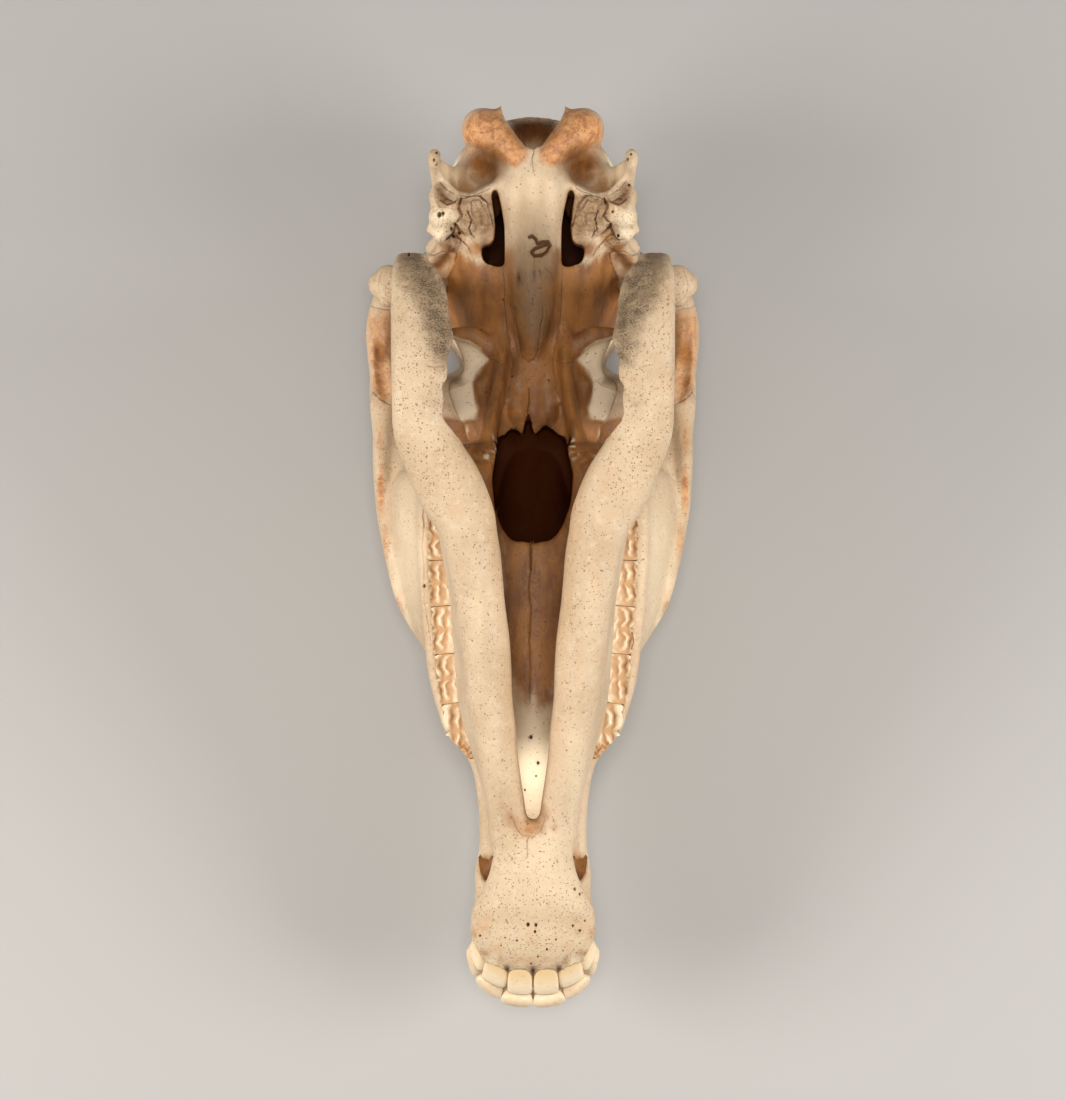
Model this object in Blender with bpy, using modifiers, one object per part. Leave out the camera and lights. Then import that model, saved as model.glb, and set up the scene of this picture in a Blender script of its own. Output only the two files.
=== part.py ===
"""A plains zebra skull with its lower jaw and 36 teeth, lying on its forehead.

The shapes are given in millimetres in the skull's own frame: x to the animal's left, y back from
the tips of the upper front teeth, z up from the chewing plane towards the forehead. The last
section turns the whole skull over and lays it on its forehead and nose.
"""

import math

import bmesh
import bpy
import numpy as np
from mathutils import Euler, Matrix, Vector

MM = 0.001

# Driving sizes, in millimetres
CROWN = 14.0
ROOT = 11.0
GAP = 0.4
BITE_GAP = 0.4

# How the skull lies: the slope of nose and forehead against the chewing plane
REST_TILT = math.radians(14.0)

# Voxel sizes and triangle budgets of the two bones
CRANIUM_VOXEL = 2.4
JAW_VOXEL = 2.2
CRANIUM_FACES = 4000
JAW_FACES = 1700

# Colours of dry bone and tooth
BONE = (0.80, 0.66, 0.47, 1.0)
ENAMEL = (0.86, 0.76, 0.58, 1.0)


# Curves and skins

def smooth_line(points, per_span, closed=False):
    """Points along a Catmull-Rom curve through the given ones, in any number of dimensions."""
    points = np.asarray(points, float)
    count = len(points)
    if closed:
        before, after = np.roll(points, 1, 0), np.roll(points, -1, 0)
        far = np.roll(points, -2, 0)
        spans = count
    else:
        before = np.vstack([2 * points[0] - points[1], points[:-1]])
        after = np.vstack([points[1:], 2 * points[-1] - points[-2]])
        far = np.vstack([points[2:], 2 * points[-1] - points[-2], points[-1]])
        spans = count - 1
    line = []
    for i in range(spans):
        a, b, c, d = before[i], points[i], after[i], far[i]
        for t in np.arange(per_span) / per_span:
            line.append(
                0.5 * (2 * b + (c - a) * t + (2 * a - 5 * b + 4 * c - d) * t**2 + (3 * b - a - 3 * c + d) * t**3)
            )
    if not closed:
        line.append(points[-1])
    return np.array(line)


def skin(clay, rings, hoop=False):
    """Skins closed rings of equal length, and closes both ends, or joins them to a hoop."""
    rows = [[clay.verts.new(Vector(p)) for p in ring] for ring in rings]
    pairs = list(zip(rows, rows[1:]))
    if hoop:
        pairs.append((rows[-1], rows[0]))
    for low, high in pairs:
        for i in range(len(low)):
            j = (i + 1) % len(low)
            clay.faces.new((low[i], low[j], high[j], high[i]))
    if not hoop:
        clay.faces.new(rows[0])
        clay.faces.new(list(reversed(rows[-1])))


def shell(clay, stations, per_station=4, per_point=2):
    """A body with mirror symmetry, lofted along y through half outlines of (x, z) points."""
    rows = []
    for y, half in stations:
        mirrored = [(-x, z) for x, z in reversed(half[1:-1])]
        rows.append([(x, y, z) for x, z in list(half) + mirrored])
    loft(clay, rows, per_station, per_point)


def loft(clay, rows, per_station=4, per_point=2):
    """A body lofted through closed rows of points, smoothed both along and around."""
    rows = np.array(rows, float)
    count, points = rows.shape[:2]
    along = smooth_line(rows.reshape(count, -1), per_station).reshape(-1, points, 3)
    skin(clay, [smooth_line(ring, per_point, closed=True) for ring in along])


def limb(clay, path, side=1, up=(0, 0, 1), per_span=4, sides=10, closed=False):
    """A tapering limb: rows of x, y, z, half width across, half depth towards up.

    A closed one is a hoop.
    """
    line = smooth_line(path, per_span, closed)
    centres = line[:, :3] * (side, 1, 1)
    wide, deep = np.abs(line[:, 3]), np.abs(line[:, 4])
    if closed:
        tangents = np.roll(centres, -1, 0) - np.roll(centres, 1, 0)
    else:
        tangents = np.gradient(centres, axis=0)
    tangents /= np.linalg.norm(tangents, axis=1)[:, None]
    up = np.array(up, float) * (side, 1, 1)
    turns = np.arange(sides) * 2 * math.pi / sides

    def ring(index, push=0.0, shrink=1.0):
        across = np.cross(up, tangents[index])
        across /= np.linalg.norm(across)
        over = np.cross(tangents[index], across)
        centre = centres[index] + tangents[index] * push * min(wide[index], deep[index])
        return [
            centre + shrink * (across * wide[index] * math.cos(t) + over * deep[index] * math.sin(t)) for t in turns
        ]

    rings = [ring(index) for index in range(len(line))]
    if not closed:
        last = len(line) - 1
        rings = [ring(0, -0.9, 0.42), ring(0, -0.55, 0.83), *rings, ring(last, 0.55, 0.83), ring(last, 0.9, 0.42)]
    skin(clay, rings, closed)


def ball(clay, centre, radii, turn=(0, 0, 0), side=1):
    """An ellipsoid, turned by degrees about x, y and z; side -1 puts it on the other half."""
    place = (
        Matrix.Diagonal((side, 1, 1, 1))
        @ Matrix.Translation(centre)
        @ Euler([math.radians(a) for a in turn]).to_matrix().to_4x4()
        @ Matrix.Diagonal((*radii, 1))
    )
    bmesh.ops.create_icosphere(clay, subdivisions=3, radius=1, matrix=place)


def both(add, clay, *shape, **more):
    """Adds a mass to the left half and its mirror image to the right half."""
    for side in (1, -1):
        add(clay, *shape, side=side, **more)


# Objects and modifiers

def new_object(name, clay, collection, colour, helper=False):
    """Makes an object in metres from clay in millimetres."""
    bmesh.ops.recalc_face_normals(clay, faces=clay.faces)
    mesh = bpy.data.meshes.new(name)
    bmesh.ops.scale(clay, vec=(MM, MM, MM), verts=clay.verts)
    clay.to_mesh(mesh)
    clay.free()
    made = bpy.data.objects.new(name, mesh)
    collection.objects.link(made)
    made.data.materials.append(material_of(colour))
    if helper:
        made.hide_render = True
        made.display_type = "WIRE"
    return made


def material_of(colour):
    """Dry bone for the two bones, and enamel for the teeth."""
    name = "enamel" if colour == ENAMEL else "dry_bone"
    found = bpy.data.materials.get(name)
    if found:
        return found
    made = bpy.data.materials.new(name)
    made.use_nodes = True
    shader = made.node_tree.nodes["Principled BSDF"]
    shader.inputs["Base Color"].default_value = colour
    shader.inputs["Roughness"].default_value = 0.35 if colour == ENAMEL else 0.6
    shader.inputs["Metallic"].default_value = 0.0
    return made


def bake_modifiers(made):
    """Replaces the object's mesh by what its modifiers make of it."""
    graph = bpy.context.evaluated_depsgraph_get()
    mesh = bpy.data.meshes.new_from_object(made.evaluated_get(graph))
    made.modifiers.clear()
    old, made.data = made.data, mesh
    bpy.data.meshes.remove(old)


def fuse(made, voxel, rounds):
    """Melts overlapping shells into one skin and rounds the seams between them."""
    melt = made.modifiers.new("melt", "REMESH")
    melt.mode = "VOXEL"
    melt.voxel_size = voxel * MM
    round_off = made.modifiers.new("round_off", "SMOOTH")
    round_off.factor = 0.5
    round_off.iterations = rounds
    bake_modifiers(made)


def cut(made, cutter, operation="DIFFERENCE"):
    """Cuts one closed mesh from another, or joins it."""
    boolean = made.modifiers.new("cut", "BOOLEAN")
    boolean.operation = operation
    boolean.object = cutter
    bake_modifiers(made)


def thin_out(made, faces):
    """Brings the mesh down to about this many triangles."""
    thin = made.modifiers.new("thin_out", "DECIMATE")
    thin.ratio = faces / sum(len(p.vertices) - 2 for p in made.data.polygons)
    bake_modifiers(made)


def keep_largest(made):
    """Removes crumbs that a cut leaves beside the main body."""
    clay = bmesh.new()
    clay.from_mesh(made.data)
    waiting = set(clay.verts)
    groups = []
    while waiting:
        group, edge = set(), [waiting.pop()]
        while edge:
            vert = edge.pop()
            group.add(vert)
            near = [e.other_vert(vert) for e in vert.link_edges]
            edge += [v for v in near if v in waiting]
            waiting -= set(near)
        groups.append(group)
    groups.sort(key=len)
    for group in groups[:-1]:
        bmesh.ops.delete(clay, geom=list(group), context="VERTS")
    clay.to_mesh(made.data)
    clay.free()


# The cranium, from front teeth to nape

FACE = [
    (9, [(0, 27), (8, 27), (13, 26), (17, 24), (19, 21), (20, 18), (20, 16), (19, 14), (16, 12), (9, 11), (0, 11)]),
    (20, [(0, 40), (10, 39), (18, 37), (24, 33), (28, 28), (30, 23), (31, 18), (29, 14), (25, 12), (14, 12), (0, 13)]),
    (38, [(0, 50), (10, 49), (20, 46), (28, 41), (33, 34), (35, 27), (35, 20), (33, 14), (28, 12), (16, 13), (0, 16)]),
    (60, [(0, 56), (10, 56), (19, 54), (26, 49), (30, 42), (32, 34), (33, 26), (32, 19), (28, 14), (17, 14), (0, 17)]),
    (75, [(0, 60), (10, 60), (18, 58), (25, 53), (29, 46), (31, 38), (33, 28), (33, 20), (28, 15), (17, 15), (0, 17)]),
    (85, [(0, 63), (10, 63), (18, 62), (24, 58), (27, 50), (29, 42), (30, 32), (31, 22), (27, 15), (16, 15), (0, 18)]),
    (110, [(0, 72), (10, 72), (18, 71), (24, 67), (27, 59), (29, 48), (30, 36), (31, 24), (29, 15), (17, 15), (0, 19)]),
    (135, [(0, 85), (10, 85), (19, 84), (27, 79), (33, 70), (37, 57), (40, 42), (42, 26), (39, 14), (22, 14), (0, 20)]),
    (150, [(0, 94), (10, 94), (20, 92), (29, 85), (38, 74), (44, 59), (47, 42), (49, 26), (46, 14), (20, 14), (0, 20)]),
    (160, [(0, 102), (11, 102), (21, 99), (31, 90), (42, 77), (48, 60), (51, 42), (53, 26), (51, 14), (21, 14), (0, 21)]),
    (185, [(0, 115), (13, 115), (25, 111), (38, 100), (50, 84), (57, 66), (58, 45), (59, 26), (57, 14), (25, 14), (0, 21)]),
    (215, [(0, 126), (16, 126), (31, 122), (46, 110), (58, 92), (66, 72), (64, 48), (62, 26), (60, 14), (28, 14), (0, 21)]),
    (250, [(0, 137), (18, 137), (37, 133), (55, 121), (68, 101), (77, 80), (68, 50), (64, 26), (62, 14), (30, 14), (0, 20)]),
    (280, [(0, 146), (22, 146), (44, 142), (63, 131), (77, 111), (84, 89), (70, 52), (64, 26), (62, 14), (30, 14), (0, 20)]),
    (300, [(0, 150), (25, 150), (48, 146), (68, 136), (78, 116), (80, 95), (64, 55), (62, 26), (60, 14), (30, 14), (0, 22)]),
    (311, [(0, 130), (20, 128), (38, 120), (52, 108), (60, 95), (64, 80), (58, 52), (55, 32), (51, 20), (30, 20), (0, 32)]),
    (318, [(0, 118), (16, 117), (28, 110), (38, 98), (44, 86), (48, 74), (46, 54), (44, 40), (40, 30), (30, 30), (0, 42)]),
]
BROW = [
    (285, [(0, 147), (40, 145), (64, 137), (74, 126), (72, 112), (60, 100), (48, 90), (40, 80), (36, 68), (0, 62)]),
    (305, [(0, 152), (44, 149), (74, 143), (84, 136), (72, 128), (50, 118), (36, 104), (32, 86), (28, 68), (0, 62)]),
    (325, [(0, 156), (46, 153), (78, 149), (88, 143), (70, 136), (46, 126), (34, 108), (31, 86), (27, 68), (0, 63)]),
    (345, [(0, 158), (48, 155), (80, 149), (90, 142), (72, 136), (46, 126), (34, 108), (31, 88), (27, 70), (0, 66)]),
    (357, [(0, 159), (44, 155), (70, 149), (80, 141), (66, 134), (44, 126), (35, 110), (32, 90), (27, 72), (0, 68)]),
    (368, [(0, 159), (30, 156), (41, 151), (45, 144), (44, 137), (42, 127), (38, 112), (33, 92), (27, 74), (0, 68)]),
    (383, [(0, 159), (27, 156), (41, 150), (48, 142), (51, 132), (51, 121), (47, 108), (39, 92), (28, 76), (0, 66)]),
    (410, [(0, 157), (24, 155), (40, 148), (50, 138), (55, 127), (56, 115), (53, 100), (44, 84), (30, 68), (0, 60)]),
    (435, [(0, 153), (22, 151), (38, 145), (49, 135), (54, 122), (55, 108), (52, 92), (44, 78), (30, 64), (0, 56)]),
    (460, [(0, 147), (20, 145), (34, 139), (45, 129), (51, 115), (53, 100), (50, 85), (43, 72), (30, 60), (0, 54)]),
    (480, [(0, 143), (18, 141), (31, 134), (40, 122), (46, 108), (48, 94), (46, 80), (40, 68), (28, 56), (0, 51)]),
    (495, [(0, 140), (16, 138), (30, 130), (38, 116), (41, 102), (41, 90), (38, 78), (31, 68), (20, 60), (0, 56)]),
    (505, [(0, 138), (15, 135), (27, 126), (34, 114), (36, 103), (35, 94), (31, 86), (24, 80), (15, 76), (0, 74)]),
    (512, [(0, 137), (13, 134), (22, 128), (27, 120), (28, 112), (26, 105), (21, 100), (15, 98), (8, 96), (0, 95)]),
]
NOSE_TUNNEL = [
    (24, [(0, 78), (6, 77), (9, 58), (7, 44), (0, 40)]),
    (45, [(0, 84), (12, 82), (16, 60), (12, 38), (0, 32)]),
    (70, [(0, 92), (18, 88), (22, 62), (16, 34), (0, 27)]),
    (100, [(0, 98), (22, 94), (24, 66), (18, 36), (0, 28)]),
    (130, [(0, 101), (22, 98), (27, 72), (20, 38), (0, 30)]),
    (152, [(0, 98), (20, 94), (31, 74), (23, 38), (0, 30)]),
    (200, [(0, 110), (22, 105), (37, 80), (26, 40), (0, 30)]),
    (240, [(0, 116), (22, 111), (36, 84), (24, 44), (0, 34)]),
    (270, [(0, 108), (18, 103), (27, 78), (20, 40), (0, 30)]),
    (300, [(0, 94), (16, 89), (21, 66), (19, 36), (0, 25)]),
    (322, [(0, 82), (13, 78), (18, 60), (17, 36), (0, 24)]),
]
NASALS = [
    (80, [(0, 97), (2, 96.5), (4, 95.5), (4.5, 94), (4, 92.5), (2, 92), (0, 92)]),
    (90, [(0, 99.5), (6, 98.5), (10, 96), (11, 93.5), (9, 92.5), (5, 93.5), (0, 94)]),
    (110, [(0, 104), (9, 102.5), (15, 98.5), (17, 94.5), (14, 94), (8, 97), (0, 98)]),
    (140, [(0, 108), (10, 107), (18, 102), (21, 96.5), (17, 96), (9, 101), (0, 102)]),
    (170, [(0, 113), (12, 112), (22, 107), (27, 100), (22, 99), (12, 105), (0, 107)]),
    (195, [(0, 119), (14, 118), (26, 113), (34, 104), (27, 103), (14, 110), (0, 112)]),
]


def lay_cranium():
    """The masses of face, brow and braincase."""
    clay = bmesh.new()
    shell(clay, FACE)
    shell(clay, BROW)
    return clay


def hollow_cranium():
    """What is scooped out first: the nose tunnel, the rear nostrils and the orbits."""
    clay = bmesh.new()
    shell(clay, NOSE_TUNNEL)
    ball(clay, (0, 298, 28), (21, 38, 38))
    both(ball, clay, (82, 326, 117), (52, 30, 27.5))
    both(ball, clay, (62, 345, 78), (30, 30, 34))
    return clay


def dress_cranium(clay):
    """The masses that grow from face and braincase."""
    shell(clay, NASALS)
    # cheek crest, floor of the orbit and zygomatic arch
    both(limb, clay, [
        (66, 205, 60, 4, 4), (73, 216, 63, 6, 5), (78, 230, 67, 8, 6), (82, 255, 73, 8, 8),
        (86, 285, 79, 6, 12), (88, 312, 84, 7, 11), (87, 338, 89, 8, 9), (88, 358, 95, 8, 10),
        (91, 375, 101, 9, 9), (91, 390, 104, 9.5, 9), (88, 404, 106, 10, 9), (80, 415, 107, 10, 9),
        (70, 421, 108, 9, 9), (58, 425, 110, 8, 9), (48, 427, 111, 8, 9),
    ])
    both(limb, clay, [(66, 284, 82, 16, 10), (74, 308, 84, 14, 8), (82, 332, 89, 8, 7), (88, 352, 94, 7, 8)])
    # rim of the orbit, closed at the back by the bar behind the eye
    both(limb, clay, [
        (82, 326, 146, 4, 7), (87, 349, 140, 5, 7), (93, 360, 117, 5, 6), (91, 351, 95, 7, 8),
        (87, 326, 87, 7, 9), (83, 303, 93, 7, 8), (79, 295, 116, 6, 8), (78, 303, 139, 5, 8),
    ], up=(1, 0, 0), closed=True)
    # joint roof for the lower jaw, and the peg behind it
    both(limb, clay, [(92, 401, 107, 6, 6), (80, 404, 105, 8, 7), (60, 409, 103, 9, 7), (46, 413, 103, 9, 8)])
    both(limb, clay, [(58, 427, 102, 7, 6), (58, 429, 90, 5, 5), (59, 429, 81, 3.5, 4)], up=(0, 1, 0))
    # ear tube, ear capsule and mastoid
    both(limb, clay, [(46, 444, 84, 8, 8), (54, 440, 92, 6, 6), (60, 437, 99, 5, 5)])
    both(ball, clay, (35, 448, 63), (10, 14, 12), turn=(0, 20, 15))
    both(ball, clay, (47, 453, 66), (11, 13, 13))
    both(ball, clay, (55, 446, 76), (7, 9, 9))
    both(limb, clay, [(53, 462, 74, 6, 12), (55, 458, 90, 6, 10), (53, 456, 106, 5, 9)], up=(0, 1, 0))
    # bar of the skull base, from the nape to behind the nose
    limb(clay, [
        (0, 490, 56, 13, 8), (0, 478, 55, 18, 8.5), (0, 464, 56, 19.5, 9), (0, 450, 57, 17, 9),
        (0, 436, 58, 15, 9), (0, 424, 59, 15, 9), (0, 405, 61, 17, 9), (0, 385, 64, 19, 8),
        (0, 360, 67, 15, 8), (0, 336, 70, 10, 7),
    ])
    # wings that frame the rear nostrils
    both(limb, clay, [
        (24, 400, 64, 4, 8), (25, 380, 60, 4, 12), (25, 358, 54, 4, 18), (25, 338, 48, 4, 22),
        (26, 322, 42, 4, 22), (28, 308, 36, 5, 18),
    ])
    # condyles of the nape
    both(limb, clay, [
        (31, 499, 91, 9, 9), (31, 507, 77, 10, 11), (26, 508, 64, 10.5, 11.5), (16, 496, 54, 11, 10),
        (8, 483, 50, 9, 8),
    ], up=(1, 0, 0))
    # processes beside the condyles, each a blade that faces forward
    both(limb, clay, [
        (46, 468, 76, 5, 15), (48, 470, 56, 4.5, 13), (51, 474, 37, 4, 10), (54, 479, 20, 4, 7),
        (55.5, 483, 9, 3.8, 4.5),
    ], up=(0, 1, 0))
    both(limb, clay, [(16, 474, 58, 8, 5), (30, 466, 62, 6, 6), (46, 464, 66, 5, 8)])
    # crest of the nape, and the ridges that run forward from it
    limb(clay, [
        (-48, 478, 108, 4, 5), (-40, 495, 116, 4.5, 5), (-25, 510, 129, 5, 5), (0, 517, 135, 5.5, 5),
        (25, 510, 129, 5, 5), (40, 495, 116, 4.5, 5), (48, 478, 108, 4, 5),
    ])
    both(limb, clay, [(46, 482, 110, 3, 4), (53, 455, 106, 3, 4), (56, 432, 107, 4, 5)])
    limb(clay, [(0, 514, 136, 4, 4), (0, 495, 141, 3, 4), (0, 470, 145, 2.5, 3), (0, 445, 150, 2, 2)])


# Slot beside the base bar, seen from below: (x, y) points
BASE_SLOT = [
    (22, 470), (24.6, 470), (24.8, 458), (25, 447), (27.5, 436), (31, 424), (28, 420), (19, 420),
    (17, 424), (17, 436), (18, 447), (19.5, 458),
]


def pierce_cranium():
    """What is cut last: room for the brain, the nape hole, the slots beside the base bar, nerve holes."""
    clay = bmesh.new()
    ball(clay, (0, 420, 108), (38, 64, 34))
    limb(clay, [(0, 545, 76, 15, 15), (0, 505, 74, 16, 16), (0, 470, 76, 17, 15), (0, 440, 90, 20, 18)])
    for side in (1, -1):
        skin(clay, [[(side * x, y, z) for x, y in BASE_SLOT] for z in (36, 84)])
    both(ball, clay, (37.5, 480, 55), (13, 11.5, 16))
    both(limb, clay, [(44, 168, 78, 4, 5), (49, 182, 81, 4, 6), (50, 200, 84, 4, 6)])
    both(limb, clay, [(60, 343, 170, 3, 3), (60, 343, 130, 3, 3)], up=(0, 1, 0))
    both(limb, clay, [(14, 62, 5, 3, 6), (15, 90, 8, 3.5, 6), (14, 120, 12, 2.5, 6)])
    both(limb, clay, [(70, 434, 108, 3, 3), (56, 440, 94, 3, 3)])
    return clay


# The lower jaw

JAW_FRONT = [
    (24, [(0, -9), (6, -9), (11, -11), (11, -14), (6, -16), (0, -16)]),
    (29, [(0, -8), (11, -9), (19, -11), (20, -16), (12, -21), (0, -22)]),
    (35, [(0, -8), (16, -9), (27, -12), (28, -18), (17, -25), (0, -27)]),
    (43, [(0, -9), (18, -10), (31, -13), (32, -21), (20, -29), (0, -32)]),
    (51, [(0, -11), (18, -11), (32, -14), (34, -23), (22, -32), (0, -35)]),
    (60, [(0, -13), (17, -12), (30, -16), (33, -25), (21, -35), (0, -38)]),
    (70, [(0, -16), (14, -14), (24, -18), (28, -27), (18, -37), (0, -41)]),
    (84, [(0, -19), (12, -17), (19, -20), (23, -30), (15, -41), (0, -44)]),
    (99, [(0, -26), (10, -21), (19, -20), (23, -31), (16, -44), (0, -46)]),
    (110, [(0, -34), (10, -24), (18, -22), (23, -31), (15, -45), (0, -42)]),
]
JAW_BODY = [
    (97, [(12, -46), (20, -41), (24, -31), (20, -20), (10, -20), (4, -27), (3, -36), (6, -43)]),
    (113, [(14, -50), (22, -44), (25, -33), (23, -19), (12, -18), (5, -27), (4, -38), (8, -46)]),
    (145, [(19, -62), (28, -56), (31, -40), (33, -16), (16, -14), (11, -30), (8, -46), (12, -57)]),
    (160, [(21, -67), (30, -61), (34, -43), (40, -15), (18, -14), (14, -31), (9, -50), (13, -62)]),
    (178, [(23, -72), (33, -65), (38, -46), (44, -15), (21, -14), (17, -32), (11, -54), (15, -66)]),
    (205, [(27, -79), (38, -71), (43, -48), (47, -15), (24, -14), (20, -35), (12, -60), (17, -74)]),
    (230, [(30, -85), (42, -77), (47, -52), (49, -15), (27, -14), (22, -38), (15, -65), (20, -80)]),
    (254, [(33, -91), (47, -83), (51, -56), (51, -15), (29, -14), (24, -42), (17, -70), (22, -86)]),
    (280, [(38, -96), (57, -88), (58, -62), (53, -15), (31, -14), (28, -46), (21, -76), (26, -91)]),
    (300, [(46, -99), (66, -91), (65, -64), (55, -15), (33, -14), (33, -48), (29, -80), (33, -95)]),
    (318, [(55, -101), (73, -91), (70, -64), (63, -18), (46, -16), (42, -48), (39, -80), (43, -95)]),
    (340, [(60, -102), (74, -92), (71, -64), (66, -20), (56, -18), (52, -48), (45, -80), (48, -96)]),
    (365, [(59, -104), (74, -94), (71, -66), (67, -22), (58, -20), (55, -48), (42, -82), (45, -98)]),
    (388, [(60, -100), (74, -90), (72, -66), (69, -22), (61, -20), (58, -48), (45, -80), (48, -94)]),
    (404, [(64, -88), (73, -79), (73, -62), (71, -22), (63, -20), (61, -48), (54, -70), (56, -83)]),
    (412, [(65, -76), (71, -68), (72, -56), (70, -28), (65, -26), (63, -48), (59, -60), (60, -71)]),
]


def lay_jaw():
    """The masses of the lower jaw: front, two bodies, two rising branches."""
    clay = bmesh.new()
    shell(clay, JAW_FRONT)
    for side in (1, -1):
        loft(clay, [[(side * x, y, z) for x, z in outline] for y, outline in JAW_BODY])
    # rising branch, a tall thin plate that ends in the hooked coronoid process
    both(limb, clay, [
        (63, 359, -34, 4.5, 48), (64, 361, -8, 4.5, 47), (66, 363, 22, 4, 44), (68, 365, 50, 4, 40),
        (69, 367, 72, 3.8, 36),
    ], up=(0, 1, 0), sides=14)
    both(limb, clay, [
        (69, 350, 60, 4, 20), (70, 354, 86, 3.5, 15), (72, 361, 106, 3, 10), (73, 367, 118, 2.6, 6),
    ], up=(0, 1, 0))
    # thick rear border, up to the joint
    both(limb, clay, [
        (66, 404, -50, 6, 8), (69, 404, -15, 6, 8), (70, 403, 20, 5.5, 8), (71, 403, 50, 6, 8),
        (71, 406, 72, 8, 8),
    ], up=(0, 1, 0))
    # condyle, a bar across the top
    both(limb, clay, [(54, 413, 83, 6, 5), (64, 411, 85, 8, 6.5), (78, 408, 86, 8, 6.5), (87, 405, 86, 6, 5)])
    return clay


def pierce_jaw():
    """The chin's nerve holes."""
    clay = bmesh.new()
    both(ball, clay, (28, 92, -30), (9, 5, 3.5), turn=(0, 0, 25))
    return clay


# Teeth

# Middle line of each row in the chewing plane, as (x, y) points
UPPER_LINE = smooth_line([
    (30, 130), (35.5, 150), (39.8, 170), (43.4, 196), (45.6, 225), (47.2, 250), (47.4, 264),
    (47.3, 285), (45.8, 306), (43.5, 325),
], 12)
LOWER_LINE = smooth_line([
    (24, 130), (26.8, 150), (31.5, 178), (35, 205), (37.6, 230), (39.6, 254), (41.5, 275), (43.2, 292),
    (45, 312), (46, 325),
], 12)
CHEEK_TEETH = ["premolar_2", "premolar_3", "premolar_4", "molar_1", "molar_2", "molar_3"]
UPPER_ENDS = [140, 172, 199.3, 226, 251.5, 277, 305]
LOWER_ENDS = [142, 171.3, 198.5, 224.8, 250, 275.6, 305]
UPPER_WIDTH, LOWER_WIDTH = 24.5, 15.5
# Outlines as (share of half length, share of half width), the cheek side positive
UPPER_OUTLINE = [
    (-1.0, 0.80), (-0.82, 1.0), (-0.62, 0.82), (-0.36, 0.78), (-0.1, 0.88), (0.0, 1.0), (0.14, 0.86),
    (0.4, 0.76), (0.7, 0.8), (0.92, 0.92), (1.0, 0.7), (0.97, -0.3), (0.8, -0.8), (0.5, -0.72),
    (0.38, -0.86), (-0.1, -1.0), (-0.6, -0.96), (-0.84, -0.8), (-0.98, -0.3),
]
LOWER_OUTLINE = [
    (-1.0, 0.3), (-0.84, 0.86), (-0.5, 1.0), (-0.16, 0.86), (0.02, 0.5), (0.2, 0.88), (0.52, 1.0),
    (0.86, 0.8), (1.0, 0.2), (0.95, -0.7), (0.6, -0.8), (0.3, -1.0), (0.0, -0.78), (-0.3, -1.0),
    (-0.62, -0.84), (-0.95, -0.76),
]


def row_point(line, y, offset, half, front, side):
    """A point of a tooth row: at y on its middle line, and offset half widths towards the cheek.

    The row draws in to a blunt tip over its first 16 mm.
    """
    x = np.interp(y, line[:, 1], line[:, 0])
    slope = (np.interp(y + 1, line[:, 1], line[:, 0]) - np.interp(y - 1, line[:, 1], line[:, 0])) / 2
    a = math.atan(slope)
    tip = min(1, max(0, (front + 16 - y) / 16))
    across = half * offset * (1 - 0.5 * tip) + 3 * tip
    return (side * (x + across * math.cos(a)), y - across * math.sin(a))


def row_outline(line, ends, index, width, outline, side):
    """A tooth's outline in the chewing plane, with half a gap to each neighbour."""
    start, stop = ends[index] + GAP / 2, ends[index + 1] - GAP / 2
    middle, reach = (start + stop) / 2, (stop - start) / 2
    return [row_point(line, middle + u * reach, v, width / 2, ends[0], side) for u, v in outline]


def trough(line, ends, width, low, high, side, collection):
    """The cutter for one row of sockets, a single trough that follows the row."""
    clay = bmesh.new()
    marks = [ends[0] - GAP, ends[0] + 16, *ends[2:-1], ends[-1] + GAP]
    half = width / 2 + 2 * GAP
    ring = [row_point(line, y, 1, half, ends[0], side) for y in marks]
    ring += [row_point(line, y, -1, half, ends[0], side) for y in reversed(marks)]
    skin(clay, [[(x, y, low) for x, y in ring], [(x, y, high) for x, y in ring]])
    bmesh.ops.triangulate(clay, faces=clay.faces)
    return new_object("trough", clay, collection, BONE, helper=True)


def cheek_tooth(name, outline, low, high, slope, collection):
    """A tall ribbed column between two heights, its root end drawn in a little."""
    clay = bmesh.new()
    middle = np.mean(outline, axis=0)
    root = [(x, y, high) for x, y in middle + (np.array(outline) - middle) * slope]
    skin(clay, [[(x, y, low) for x, y in outline], root])
    bmesh.ops.triangulate(clay, faces=clay.faces)
    return new_object(name, clay, collection, ENAMEL)


# Front teeth: name, middle of the chewing edge, middle at the gum, width there and there, turn in degrees
UPPER_FRONT = [
    ("incisor_1", (8.7, 6.0, -3.0), (8.0, 14.0, 17.0), 16.2, 13.0, 0),
    ("incisor_2", (23.4, 12.6, -3.0), (21.0, 19.5, 17.0), 14.0, 11.5, 33),
    ("incisor_3", (31.6, 27.2, -3.0), (29.0, 33.0, 17.0), 14.0, 11.0, 72),
]
LOWER_FRONT = [
    ("incisor_1", (7.5, 9.4, -3.8), (6.6, 26.0, -14.5), 13.8, 11.0, 0),
    ("incisor_2", (20.9, 15.4, -3.8), (18.0, 31.0, -14.5), 12.6, 9.4, 30),
    ("incisor_3", (29.6, 27.4, -3.8), (26.0, 41.0, -14.5), 12.6, 8.6, 64),
]
FRONT_THICKNESS = 9.5
# The cross-section of a front tooth: shares of half width and half thickness, lips' side positive
FRONT_SECTION = [(-0.8, -0.9), (-1, 0), (-0.72, 0.8), (0, 1.06), (0.72, 0.8), (1, 0), (0.8, -0.9), (0, -1)]


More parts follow.
